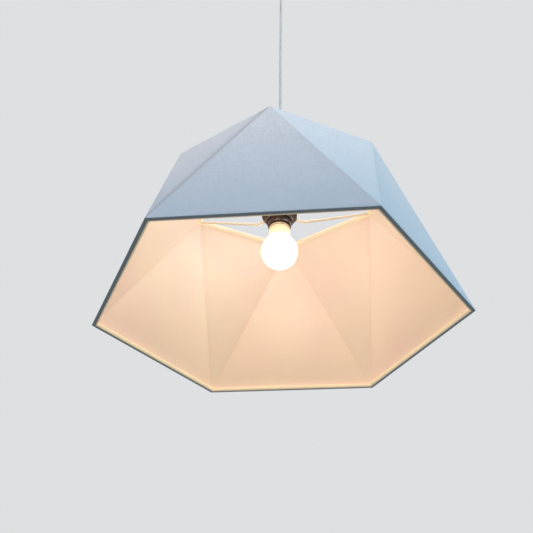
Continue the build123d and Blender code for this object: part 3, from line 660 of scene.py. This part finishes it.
def board_finish():
    """Circuit board with a faint pattern of tracks."""
    f = Finish("board", Specular_IOR_Level=0.5)
    tracks = f.add("TexBrick", f.place, Scale=260.0).outputs["Fac"]
    f.colour(f.blended(f.ranged(tracks, 0.0, 0.5), MASK, TRACKS))
    f.roughness(f.noise(300.0, 2.0), 0.32, 0.45)
    f.bump(tracks, 0.00002, 0.5)
    return f.material


# Each moulding's tone, deeper tone and roughness, then its grain's scale and depth. Each metal's tone, deeper
# tone and roughness, then its streaks' scale and how they are stretched.
MOULDINGS = {
    "white_plastic": ((0.80, 0.80, 0.785), (0.77, 0.765, 0.745), 0.42),
    "natural_plastic": ((0.72, 0.70, 0.64), (0.66, 0.635, 0.565), 0.46),
    "black_insulator": ((0.012, 0.012, 0.016), (0.03, 0.028, 0.035), 0.16),
    "steatite": ((0.80, 0.77, 0.70), (0.72, 0.68, 0.60), 0.62, 700.0, 0.00006),
    "brown_core": ((0.115, 0.042, 0.018), (0.085, 0.03, 0.012), 0.42),
    "blue_core": ((0.022, 0.10, 0.38), (0.016, 0.075, 0.30), 0.42),
    "led": ((0.90, 0.66, 0.12), (0.84, 0.58, 0.09), 0.30),
    "component_black": ((0.018, 0.018, 0.02), (0.03, 0.03, 0.032), 0.45),
}
METALS = {
    "zinc_steel": ((0.66, 0.67, 0.69), (0.56, 0.575, 0.60), 0.38, 420.0, (1, 1, 1)),
    "brass": ((0.78, 0.58, 0.27), (0.68, 0.48, 0.20), 0.30),
    "nickel": ((0.72, 0.70, 0.66), (0.62, 0.60, 0.56), 0.26, 320.0, (1, 1, 9)),
    "board_metal": ((0.78, 0.79, 0.80), (0.70, 0.71, 0.73), 0.36, 300.0, (8, 1, 1)),
}
finishes = {
    "white_cord": cord_finish(),
    "shade_cloth": cloth_finish(),
    "liner": liner_finish(),
    "white_wire": coated_finish("white_wire", (0.95, 0.91, 0.79), (0.92, 0.865, 0.73), 0.42),
    "brown_bakelite": bakelite_finish(),
    "bulb_diffuser": globe_finish(),
    "bulb_housing": housing_finish(),
    "board": board_finish(),
    **{name: moulded_finish(name, *looks) for name, looks in MOULDINGS.items()},
    **{name: metal_finish(name, *looks) for name, looks in METALS.items()},
}
for entry in frame["record"]["subparts"]:
    carried = nodes[entry["node"]]
    carried.data.materials.clear()
    carried.data.materials.append(finishes[entry["material_slot"]])


# Shade: facets 30 degrees apart, by turns on the top edge (even) and on the bottom edge (odd)
SHADE_BOTTOM_R = 300.0
SHADE_TOP_R = 185.0
FACETS = 12
TURN = 2 * math.pi / FACETS
COS, SIN, TAN = math.cos(TURN), math.sin(TURN), math.tan(TURN)
BOTTOM_APOTHEM = SHADE_BOTTOM_R * COS
TOP_APOTHEM = SHADE_TOP_R * COS
LEANS = (
    math.hypot(1, (SHADE_BOTTOM_R - TOP_APOTHEM) / SHADE_HEIGHT),
    math.hypot(1, (BOTTOM_APOTHEM - SHADE_TOP_R) / SHADE_HEIGHT),
)
SHADE_SHARP = 28.0
FACE_STEPS = 22
FACE_EDGE = (0.0, 0.8, 2.4, 6.0, 12.0)
FACE_ROW = 7.0
FOLD_STEPS = 4
FABRIC, PANEL = 0.5, 1.0
COVER_FOLD_R, INNER_FOLD_R, LINER_FOLD_R = 1.3, 0.5, 2.0
COVER_CREASE, LINER_GROOVE = -0.15, 0.1
LINER_MARGIN = 1.2
RIM_R = 1.4
# How far a facet sinks between its folds and how much it waves, still near its edges and its folds
BOW, WAVE = 0.9, 0.55
SWAY_SIZE, FINE_SIZE = 85.0, 34.0
EDGE_CALM, FOLD_CALM = (8.0, 45.0), (0.0, 30.0)
WEAVE_SHIFT = 0.37  # of the weave from facet to facet
# Each hem is a flat tuck under the edge, a rounded corner, an upright wall and a slope back to the liner
# white and tuck_white are how strongly the hem's wall and tuck are painted lit by the bulb
BOTTOM_HEM = {"reach": 8.4, "corner": 2.2, "wall": 3.6, "tuck": 6.2, "white": 1.0, "tuck_white": 1.0}
TOP_HEM = {"reach": 5.9, "corner": 1.6, "wall": 4.4, "tuck": 5.7, "white": 0.7, "tuck_white": 0.9}
HEM_STEPS, HEM_ROWS = 6, 4
HEM_LINE, HEM_LINE_START, HEM_LINE_LIGHT = 1.2, 0.7, 0.5
WHITE_RISE = 0.35  # of the corner, over which the line's painted light rises to the hem's full painted light
SLOPE_ROUND, SLOPE_TURN = 0.6, 160.0
# Fold sides with a wider, darker painted shade than the rest, each by its facet and the side of it that is
# shaded
SHADED_FOLD_SIDES = {(8, 1): 1.0, (2, -1): 0.7, (5, 1): 0.6}


def apothems(height, inset):
    """The even and the odd facets' distances from the axis at a height, moved in by the inset."""
    t = height / SHADE_HEIGHT
    even = SHADE_BOTTOM_R + (TOP_APOTHEM - SHADE_BOTTOM_R) * t - inset * LEANS[0]
    odd = BOTTOM_APOTHEM + (SHADE_TOP_R - BOTTOM_APOTHEM) * t - inset * LEANS[1]
    return even, odd


def half_widths(distances):
    """Half of each facet's width where its neighbours cut it. One that has run out gives way to them."""
    distances = list(distances)
    widths = [(distances[1 - i] - distances[i] * COS) / SIN for i in (0, 1)]
    for i in (0, 1):
        if widths[i] < 0:
            distances[i] = distances[1 - i] / COS
            widths[i] = 0.0
            widths[1 - i] = distances[1 - i] * TAN
    return distances, widths


def face_stops(half):
    """Places across a facet, closer together by its folds."""
    edge = [stop * min(1.0, half / (2 * FACE_EDGE[-1])) for stop in FACE_EDGE]
    inner = half - edge[-1]
    middle = [-inner + 2 * inner * k / FACE_STEPS for k in range(1, FACE_STEPS)]
    return [stop - half for stop in edge] + middle + [half - stop for stop in reversed(edge)]


def ripple(stop, height, facet, size, shift, seed):
    """Smooth noise over a facet, of that size and different on each."""
    return noise.noise(Vector((stop / size + shift * facet, height / size, seed * facet)))


def shade_ring_points(height, inset, fold_r, groove):
    """Once round the shade: (x, y), facet, distance to its fold and how much painted shade darkens that side
    of it.
    """
    distances, widths = half_widths([d - fold_r for d in apothems(height, inset)])
    calm = smoothstep(min(height, SHADE_HEIGHT - height), *EDGE_CALM)
    ring = []
    for facet in range(FACETS):
        azimuth, kind = facet * TURN, facet % 2
        out = Vector((math.cos(azimuth), math.sin(azimuth)))
        side = Vector((-out.y, out.x))
        half = widths[kind]
        for stop in face_stops(half):
            to_fold = half - abs(stop)
            free = calm * smoothstep(to_fold, *FOLD_CALM)
            sway = ripple(stop, height, facet, SWAY_SIZE, 11, 3.1)
            fine = ripple(stop, height, facet, FINE_SIZE, 5, 7.7)
            push = free * (BOW * (0.5 + 0.5 * sway) + WAVE * (sway + 0.5 * fine))
            place = out * (distances[kind] + fold_r - push) + side * stop
            # how much wider and darker the painted shade is on this side of the fold
            fold_shade = SHADED_FOLD_SIDES.get((facet, 1 if stop > 0 else -1), 0.0)
            ring.append((place, facet, to_fold, fold_shade))
        corner = out * distances[kind] + side * half
        for step in range(1, FOLD_STEPS):
            angle = azimuth + TURN * step / FOLD_STEPS
            away = Vector((math.cos(angle), math.sin(angle)))
            depth = groove * math.sin(math.pi * step / FOLD_STEPS)
            owner = facet if 2 * step <= FOLD_STEPS else (facet + 1) % FACETS
            ring.append((corner + away * (fold_r + depth), owner, 0.0, 0.0))
    return ring


def shade_skin(name, profile):
    """A closed skin swept round the shade along a profile of (height, inset, fold radius, groove, hem), hem
    being how strongly the hem is painted lit there.
    """
    rings, owners, travels = [], [], []
    marks = {"fold": [], "hem": [], "fold_shade": []}
    travelled = 0.0
    last = profile[0]
    for row in profile:
        height, inset, fold_r, groove, hem = row
        travelled += math.hypot(height - last[0], inset - last[1])
        last = row
        ring = shade_ring_points(height, inset, fold_r, groove)
        rings.append([(place.x, place.y, RIM_Z + height) for place, *_ in ring])
        for _, facet, to_fold, fold_shade in ring:
            owners.append(facet)
            travels.append(travelled)
            marks["fold"].append(to_fold)
            marks["hem"].append(hem)
            marks["fold_shade"].append(fold_shade)
    points, faces = bridged(rings)
    piece = new_piece(name, points, faces, None)
    mesh = piece.data
    for mark, values in marks.items():
        mesh.attributes.new(mark, "FLOAT", "POINT").data.foreach_set("value", values)
    weave = mesh.attributes.new("weave", "FLOAT_VECTOR", "CORNER")
    for polygon in mesh.polygons:
        facets = [owners[mesh.loops[loop].vertex_index] for loop in polygon.loop_indices]
        facet = max(set(facets), key=facets.count)
        azimuth = facet * TURN
        lean = LEANS[facet % 2]
        for loop in polygon.loop_indices:
            index = mesh.loops[loop].vertex_index
            x, y, _ = points[index]
            across = -x * math.sin(azimuth) + y * math.cos(azimuth)
            along = travels[index] * lean
            weave.data[loop].vector = (across * MM, along * MM, facet * WEAVE_SHIFT)
    welded(mesh, SHADE_SHARP)
    return piece


def arc(centre, radius, start, end, steps):
    """Points (depth, inset) on an arc, by angles from straight towards the edge round to straight inward."""
    points = []
    for k in range(steps + 1):
        angle = math.radians(start + (end - start) * k / steps)
        points.append((centre[0] - radius * math.cos(angle), centre[1] + radius * math.sin(angle)))
    return points


def rim_profile(hem, at_top=False):
    """From the outer face round the edge, the hem and up to the liner, as rows of the profile."""
    reach, corner, wall, tuck, white, tuck_white = hem.values()
    flat_end = reach - corner
    points = [(depth, inset, 0.0) for depth, inset in arc((RIM_R, RIM_R), RIM_R, -90, 0, HEM_STEPS)]
    points += [(0.0, (RIM_R + flat_end) / 2, 0.0), (0.0, flat_end - HEM_LINE, 0.0)]
    # a thin painted line of light where the flat underside turns up into the hem
    points.append((0.0, flat_end - HEM_LINE_START * HEM_LINE, white * HEM_LINE_LIGHT))
    for k, (depth, inset) in enumerate(arc((corner, flat_end), corner, 0, 90, HEM_STEPS)):
        rise = smoothstep(k / HEM_STEPS, 0.0, WHITE_RISE)
        points.append((depth, inset, white * (HEM_LINE_LIGHT + (1 - HEM_LINE_LIGHT) * rise)))
    points += [(corner + (wall - corner) * k / HEM_ROWS, reach, white) for k in range(1, HEM_ROWS)]
    rounding = (tuck - wall) * SLOPE_ROUND
    slope = arc((wall, reach - rounding), rounding, 90, SLOPE_TURN, HEM_STEPS)
    for k, (depth, inset) in enumerate(slope):
        points.append((depth, inset, white + (tuck_white - white) * k / HEM_STEPS))
    low, inset, _ = points[-1]
    for k in range(1, HEM_ROWS + 1):
        t = k / HEM_ROWS
        points.append((low + (tuck - low) * t, inset + (FABRIC + PANEL - inset) * t, tuck_white))
    rows = []
    for depth, inset, whiteness in points:
        rows.append((SHADE_HEIGHT - depth if at_top else depth, inset, INNER_FOLD_R, 0.0, whiteness))
    return rows


def face_rows(low, high):
    """Evenly spaced heights between the two, with neither of them."""
    count = max(2, round((high - low) / FACE_ROW))
    return [low + (high - low) * k / count for k in range(1, count)]


def make_cover():
    """The cloth, folded over the liner's outside and rolled round both edges to its inside."""
    outer = [(h, 0.0, COVER_FOLD_R, COVER_CREASE, 0.0) for h in face_rows(RIM_R, SHADE_HEIGHT - RIM_R)]
    low, high = BOTTOM_HEM["tuck"], SHADE_HEIGHT - TOP_HEM["tuck"]
    first, last = ((h, FABRIC, INNER_FOLD_R, 0.0, 1.0) for h in (low, high))
    inner = [first, *((h, FABRIC, INNER_FOLD_R, 0.0, 0.0) for h in face_rows(low, high)), last]
    bottom, top = rim_profile(BOTTOM_HEM), rim_profile(TOP_HEM, at_top=True)
    return shade_skin("shade_cover", [*reversed(outer), *bottom, *inner, *reversed(top)])


def make_liner():
    """The stiff panels inside the cloth, with a groove at each fold."""
    low, high = RIM_R + LINER_MARGIN, SHADE_HEIGHT - RIM_R - LINER_MARGIN
    heights = [low, *face_rows(low, high), high]
    outer = [(h, FABRIC, INNER_FOLD_R, 0.0, 0.0) for h in heights]
    inner = [(h, FABRIC + PANEL, LINER_FOLD_R, LINER_GROOVE, 0.0) for h in heights]
    return shade_skin("shade_liner", [*reversed(outer), *inner])


# The cloth cover and the liner's panels. Laid flat, the cloth's cut is twelve triangles in one curved strip
# with 14 mm to turn in along both edges
panels = [f"{kind}_panel_{k}" for kind in ("lower", "upper") for k in range(1, 7)]
cover = make_cover()
finish_piece(cover, "shade", "shade_cloth", ("shade_fabric", "bottom_hem", "top_hem"))
finish_piece(make_liner(), "shade", "liner", panels)

# Shade ring: a scalloped grip, a ribbed cone and a flange
RING_BORE_R, RING_GRIP_R, RING_FLANGE_R = 19.9, 23.5, 30.0
RING_LOW, RING_CONE_LOW, RING_FLANGE_LOW, RING_HIGH = 190.5, 197.5, 202.0, 204.45
RING_SIDES = 384
SCALLOPS = 24
SCALLOP_DEPTH = 1.6
RIBS = 48
RIB_DEPTH = 0.7
# The radii over which the scallops and the ribs set in, and the heights over which they fade out
GRIP_RADII, GRIP_FADE = (21.5, 23.2), (RING_CONE_LOW - 1.2, RING_CONE_LOW + 0.2)
CONE_RADII, CONE_FADE = (24.2, 25.4), (RING_FLANGE_LOW + 0.6, RING_HIGH - 0.4)
EDGE_RADII, EDGE_FADE = (RING_FLANGE_R - 1.2, RING_FLANGE_R - 0.1), (RING_HIGH - 0.9, RING_HIGH - 0.2)


def ring_shape(radius, z, azimuth):
    """Scallops round the grip and fine ribs over the cone and the flange's edge."""
    height = z - RIM_Z
    grip = smoothstep(radius, *GRIP_RADII) * (1 - smoothstep(height, *GRIP_FADE))
    radius -= SCALLOP_DEPTH * grip * scalloped(SCALLOPS, azimuth)
    rib = waved(RIBS, azimuth)
    under = smoothstep(radius, *CONE_RADII) * (1 - smoothstep(height, *CONE_FADE))
    edge = smoothstep(radius, *EDGE_RADII) * (1 - smoothstep(height, *EDGE_FADE))
    radius -= RIB_DEPTH / 2 * edge * rib
    return radius, z + RIB_DEPTH * under * rib


ring_outline = above_rim([
    (RING_BORE_R, RING_LOW, 0.5),
    (RING_GRIP_R, RING_LOW, 0.9),
    (RING_GRIP_R, RING_CONE_LOW, 0.8),
    (RING_FLANGE_R, RING_FLANGE_LOW, 0.6),
    (RING_FLANGE_R, RING_HIGH, 0.4),
    (RING_BORE_R, RING_HIGH, 0.2),
])
ring_piece = turned("shade_ring_nut", divided(softened(ring_outline), 0.8), RING_SIDES, ring_shape)
finish_piece(ring_piece, "ring_nut", "brown_bakelite", ("shade_ring",))

# Lampholder: threaded skirt, its flange and body, and the cap that closes it
SKIRT_BORE_R, SKIRT_R, FLANGE_R, BODY_R = 15.0, 19.8, 23.5, 21.5
LIP, FLANGE_LOW, FLANGE_HIGH, BODY_HIGH = 181.0, 206.05, 209.0, 215.0
LIP_WIDTH = 1.0
HOLDER_PITCH, HOLDER_THREAD, THREAD_ROUND = 2.5, 0.6, 1.4
HOLDER_SIDES = 180
FLUTES = 36
FLUTE_DEPTH = 0.45
ON_WALL = 0.3  # how close to a wall a point is still on it


def skirt_shape(radius, z, azimuth):
    """A rounded thread on the skirt, and fine flutes round the body above the flange."""
    height = z - RIM_Z
    if abs(radius - SKIRT_R) < ON_WALL:
        ends = within(height, (LIP + 2.2, LIP + 4.0), (FLANGE_LOW - 1.6, FLANGE_LOW - 0.8))
        radius -= HOLDER_THREAD * ends * thread_wave(height, LIP, HOLDER_PITCH, azimuth) ** THREAD_ROUND
    if abs(radius - BODY_R) < ON_WALL and height > FLANGE_HIGH:
        ends = within(height, (FLANGE_HIGH + 0.8, FLANGE_HIGH + 1.8), (BODY_HIGH - 1.8, BODY_HIGH - 0.8))
        radius -= FLUTE_DEPTH * ends * waved(FLUTES, azimuth)
    return radius, z


skirt_outline = above_rim([
    (SKIRT_BORE_R - LIP_WIDTH, LIP, 0.4),
    (SKIRT_R, LIP, 1.1),
    (SKIRT_R, FLANGE_LOW, 0.1),
    (FLANGE_R, FLANGE_LOW, 0.5),
    (FLANGE_R, FLANGE_HIGH, 0.9),
    (BODY_R, FLANGE_HIGH, 0.3),
    (BODY_R, BODY_HIGH, 0.4),
    (SKIRT_BORE_R, BODY_HIGH, 0.1),
    (SKIRT_BORE_R, LIP + LIP_WIDTH, 0.1),
    (SKIRT_BORE_R - LIP_WIDTH, LIP + LIP_WIDTH, 0.2),
])
skirt = turned("holder_skirt_threaded", divided(softened(skirt_outline), 0.3), HOLDER_SIDES, skirt_shape)
finish_piece(skirt, "lampholder", "brown_bakelite", ("holder_skirt",))

CAP_HIGH, NECK_LOW, NECK_HIGH = 224.0, 237.0, 246.0
NECK_R, BUSH_R, BUSH_GAP = 8.2, 5.6, 0.05
CAP_WALL = 2.2


def cap_shape(radius, z, azimuth):
    """Flutes on the straight part of the cap, fading into its shoulder."""
    height = z - RIM_Z
    if radius > BODY_R - ON_WALL:
        ends = within(height, (BODY_HIGH + 1.0, BODY_HIGH + 2.2), (CAP_HIGH - 2.6, CAP_HIGH))
        radius -= FLUTE_DEPTH * ends * waved(FLUTES, azimuth)
    return radius, z


cap_outline = above_rim([
    (BODY_R - CAP_WALL, BODY_HIGH, 0.1),
    (BODY_R, BODY_HIGH, 0.5),
    (BODY_R, CAP_HIGH, 3.0),
    (NECK_R, NECK_LOW, 2.5),
    (NECK_R, NECK_HIGH, 0.6),
    (BUSH_R + BUSH_GAP, NECK_HIGH, 0.2),
    (BUSH_R + BUSH_GAP, NECK_LOW - CAP_WALL, 0.2),
    (BODY_R - CAP_WALL, CAP_HIGH - CAP_WALL / 2, 2.0),
])
cap = turned("holder_cap_fluted", divided(softened(cap_outline, 5), 0.8), HOLDER_SIDES, cap_shape)
finish_piece(cap, "lampholder", "brown_bakelite", ("holder_cap",))

# Spider: three bent wires from the top ring to the fitter ring, each with a bead of weld at its inner end
ARM_R = 2.6
ARM_SIDES = 20
ARM_AZIMUTHS = (30.0, 150.0, 270.0)
ARM_ROUTE = [(181.48, 274.1), (45.0, 206.5), (33.0, 208.0), (25.6, 208.0)]  # radius and height
ARM_BENDS = (0.0, 7.0, 4.0, 0.0)
ARM_SHARP = 50.0
TIP_SHARE, TIP_REACH = 0.72, 0.35  # of the wire's radius
BEAD_PLACE = (29.0, 207.3)
BEAD_SIZE = (4.4, 3.8, 2.5)
BEAD_OPEN = 0.04  # of half a turn, left to the flat cap at each pole
BEAD_LUMP, BEAD_LUMPS = 0.12, 3.0
UP = Vector((0, 0, 1))


def bent_line(route, bends, steps=8):
    """The route's points, with a bend at each inner corner that starts that far before it."""
    line = [Vector(route[0])]
    for i in range(1, len(route) - 1):
        here = Vector(route[i])
        start = here + (Vector(route[i - 1]) - here).normalized() * bends[i]
        end = here + (Vector(route[i + 1]) - here).normalized() * bends[i]
        line += [curve_point(start, here, end, k / steps) for k in range(steps + 1)]
    return line + [Vector(route[-1])]


def round_ring(centre, one, other):
    """Points round an ellipse with those two half axes."""
    angles = round_angles(ARM_SIDES)
    return [centre + one * math.cos(angle) + other * math.sin(angle) for angle in angles]


def bent_wire(line, out, side):
    """A wire with rounded ends along the line, in the upright plane through the axis and out."""
    rings = []
    for i, point in enumerate(line):
        step = (line[min(i + 1, len(line) - 1)] - line[max(i - 1, 0)]).normalized()
        lift = (UP * step.x - out * step.y) * ARM_R
        centre = out * point.x + UP * (RIM_Z + point.y)
        rings.append(round_ring(centre, side * ARM_R, lift))
        push = (out * step.x + UP * step.y) * TIP_REACH * ARM_R
        if i == 0:
            rings.insert(0, round_ring(centre - push, side * ARM_R * TIP_SHARE, lift * TIP_SHARE))
        if i == len(line) - 1:
            rings.append(round_ring(centre + push, side * ARM_R * TIP_SHARE, lift * TIP_SHARE))
    return capped(rings)


def weld_bead(out, side, seed, steps=11):
    """A slightly lumpy bead where a wire meets the fitter ring."""
    centre = out * BEAD_PLACE[0] + UP * (RIM_Z + BEAD_PLACE[1])
    rings = []
    for j in range(steps):
        polar = math.pi * (BEAD_OPEN + (1 - 2 * BEAD_OPEN) * j / (steps - 1))
        ring = []
        for angle in round_angles(ARM_SIDES):
            x, y = math.cos(angle), math.sin(angle)
            lump = 1 + BEAD_LUMP * noise.noise(Vector((BEAD_LUMPS * x, BEAD_LUMPS * y, 2.0 * j + seed)))
            flat = out * x * BEAD_SIZE[0] + side * y * BEAD_SIZE[1]
            ring.append(centre + flat * math.sin(polar) * lump - UP * BEAD_SIZE[2] * math.cos(polar))
        rings.append(ring)
    return capped(rings)


def make_arms():
    """The three wires and their beads of weld."""
    line = bent_line(ARM_ROUTE, ARM_BENDS)
    skins = []
    for azimuth in (math.radians(a) for a in ARM_AZIMUTHS):
        out = Vector((math.cos(azimuth), math.sin(azimuth), 0))
        side = Vector((-out.y, out.x, 0))
        skins += [bent_wire(line, out, side), weld_bead(out, side, azimuth)]
    return new_piece("spider_wires", *joined(skins), ARM_SHARP)


arm_names = [f"spider_arm_{k}" for k in (1, 2, 3)]
finish_piece(make_arms(), "shade", "white_wire", arm_names)

# Bulb: globe, collar and threaded screw cap
GLOBE_R, GLOBE_CENTRE, GLOBE_WALL = 30.0, 129.0, 1.2
GLOBE_TANGENT = math.radians(35.0)
GLOBE_STEPS, NECK_STEPS = 48, 12
NECK_KNEE = 0.55  # of the way to the neck
NECK_STRAIGHT = 2.0
MOUTH_R, MOUTH = 18.8, 156.5
BULB_SIDES = 128
COLLAR_R, COLLAR_TOP_R, COLLAR_TOP = 17.6, 14.2, 180.5
COLLAR_WALL, GROOVE_DEPTH = 1.5, 0.9
SCREW_R, SCREW_TOP, CONE_TOP, INSULATOR_R = 13.0, 200.5, 203.5, 8.0
SCREW_WALL = 0.4
BULB_PITCH, BULB_THREAD = 3.63, 0.95


def globe_outline(inset):
    """The globe's outer or inner line from its pole up to its mouth."""
    radius = GLOBE_R - inset
    points = []
    for k in range(GLOBE_STEPS + 1):
        angle = -math.pi / 2 + (GLOBE_TANGENT + math.pi / 2) * k / GLOBE_STEPS
        points.append((radius * math.cos(angle) if k else 0.0, GLOBE_CENTRE + radius * math.sin(angle)))
    end = Vector(points[-1])
    neck = Vector((MOUTH_R - inset, MOUTH - NECK_STRAIGHT))
    slope = Vector((-math.sin(GLOBE_TANGENT), math.cos(GLOBE_TANGENT)))
    knee = end + slope * (neck - end).length * NECK_KNEE
    points += [tuple(curve_point(end, knee, neck, k / NECK_STEPS)) for k in range(1, NECK_STEPS + 1)]
    points.append((MOUTH_R - inset, MOUTH))
    return points


globe_line = globe_outline(0) + list(reversed(globe_outline(GLOBE_WALL)))
globe = turned("bulb_globe_opal", above_rim(globe_line), BULB_SIDES)
finish_piece(globe, "bulb", "bulb_diffuser", ("bulb_globe",))

collar_outline = above_rim([
    (COLLAR_R - COLLAR_WALL, MOUTH, 0.1),
    (MOUTH_R, MOUTH, 0.1),
    (MOUTH_R - 0.25, MOUTH + 0.7, 0.0),
    (COLLAR_R, MOUTH + 4.0, 2.0),
    (COLLAR_R, COLLAR_TOP - 5.6, 0.3),
    (COLLAR_R - GROOVE_DEPTH, COLLAR_TOP - 5.2, 0.2),
    (COLLAR_R - GROOVE_DEPTH, COLLAR_TOP - 4.2, 0.2),
    (COLLAR_R, COLLAR_TOP - 3.8, 0.3),
    (COLLAR_R, COLLAR_TOP - 2.4, 1.0),
    (COLLAR_TOP_R + 0.5, COLLAR_TOP, 0.8),
    (SCREW_R - SCREW_WALL, COLLAR_TOP, 0.1),
    (SCREW_R - SCREW_WALL, COLLAR_TOP - COLLAR_WALL, 0.1),
    (COLLAR_R - COLLAR_WALL, COLLAR_TOP - 3.5, 0.3),
])
collar = turned("bulb_collar_ringed", divided(softened(collar_outline, 4), 1.5), BULB_SIDES)
finish_piece(collar, "bulb", "bulb_housing", ("bulb_collar",))


def thread_shape(radius, z, azimuth):
    """The rolled, rounded thread, the same on both faces of the thin cap."""
    height = z - RIM_Z
    if radius > SCREW_R - 1.6:
        ends = within(height, (COLLAR_TOP + 1.0, COLLAR_TOP + 3.0), (SCREW_TOP - 2.5, SCREW_TOP))
        radius -= BULB_THREAD * ends * thread_wave(height, COLLAR_TOP, BULB_PITCH, azimuth)
    return radius, z


screw_outline = above_rim([
    (SCREW_R - SCREW_WALL, COLLAR_TOP, 0.05),
    (SCREW_R, COLLAR_TOP, 0.1),
    (SCREW_R, SCREW_TOP, 0.8),
    (INSULATOR_R, CONE_TOP, 0.15),
    (INSULATOR_R - SCREW_WALL, CONE_TOP, 0.1),
    (SCREW_R - SCREW_WALL, SCREW_TOP - SCREW_WALL, 0.6),
])
screw = turned("bulb_screw_threaded", divided(softened(screw_outline), 0.35), BULB_SIDES, thread_shape)
finish_piece(screw, "bulb", "nickel", ("bulb_screw_cap",))

# Ceiling: ribbed gland and the cup's two screws with slotted heads. A gland's height is its z.
GLAND_BORE_R, GLAND_SHANK_R, GLAND_R, GLAND_TIP_R = 2.7, 5.0, 7.0, 5.5
GLAND_FLANGE_R = GLAND_R + 1.0
GLAND_SHANK_TOP, CUP_LOW, GLAND_FLANGE_LOW, GLAND_MOUTH = -27.2, -35.0, -38.0, -55.0
GLAND_SIDES = 160
GRIPS = 16
GRIP_DEPTH, GRIP_START, GRIP_END = 0.55, (39.2, 41.0), (49.5, 52.5)


def gland_shape(radius, z, azimuth):
    """Finger grips round the gland's body."""
    if radius > GLAND_SHANK_R + 0.2 and z < GLAND_FLANGE_LOW:
        ends = within(-z, GRIP_START, GRIP_END)
        radius -= GRIP_DEPTH * ends * scalloped(GRIPS, azimuth)
    return radius, z


gland_outline = [
    (GLAND_BORE_R, GLAND_SHANK_TOP, 0.2),
    (GLAND_SHANK_R, GLAND_SHANK_TOP, 0.3),
    (GLAND_SHANK_R, CUP_LOW, 0.0),
    (GLAND_FLANGE_R, CUP_LOW, 0.2),
    (GLAND_FLANGE_R, GLAND_FLANGE_LOW, 0.7),
    (GLAND_R, GLAND_FLANGE_LOW, 0.3),
    (GLAND_TIP_R, GLAND_MOUTH, 1.1),
    (GLAND_BORE_R, GLAND_MOUTH, 0.5),
]
gland = turned("cord_gland_ribbed", divided(softened(gland_outline), 0.7), GLAND_SIDES, gland_shape)
finish_piece(gland, "ceiling_fitting", "white_plastic", ("cord_gland",))

HEAD_IN, HEAD_OUT, HEAD_R, SHANK_R, SHANK_IN = 50.05, 53.05, 4.0, 1.85, 45.4
SLOT_WIDE, SLOT_DEEP = 1.0, 1.2
HEAD_SIDES, HEAD_SHARP, HEAD_Z = 64, 30.0, -12.0


def make_cup_screws():
    """Two pan heads with a driving slot, on the X axis at both sides of the cup."""
    outline = softened([
        (0.0, SHANK_IN, 0.0),
        (SHANK_R, SHANK_IN, 0.3),
        (SHANK_R, HEAD_IN, 0.0),
        (HEAD_R, HEAD_IN, 0.2),
        (HEAD_R, HEAD_IN + 1.2, 0.3),
        (HEAD_R - 1.3, HEAD_OUT - 0.25, 1.6),
        (0.0, HEAD_OUT, 0.0),
    ], 4)
    skins = []
    for side in (-1, 1):
        rings = []
        for radius, reach in outline:
            ring = []
            for azimuth in round_angles(HEAD_SIDES):
                y, z = radius * math.cos(azimuth), radius * math.sin(azimuth)
                in_slot = abs(y) < SLOT_WIDE / 2 and reach > HEAD_OUT - SLOT_DEEP
                depth = HEAD_OUT - SLOT_DEEP if in_slot else reach
                ring.append((side * depth, y, z + HEAD_Z))
            rings.append(ring if side > 0 else list(reversed(ring)))
        skins.append(bridged(rings, closed=False))
    return new_piece("canopy_screw_heads", *joined(skins), HEAD_SHARP)


finish_piece(make_cup_screws(), "ceiling_fitting", "zinc_steel", ("canopy_screws",))

# The cord bends at the gland: its root from the fitting to the first pivot, the long drop past the second
finish_piece(cord_root, None, "white_cord", ("cord_stub", "cord_flex"))
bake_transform(cord_root)
finish_piece(cord, None, "white_cord", ("cord_drop",))
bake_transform(cord)
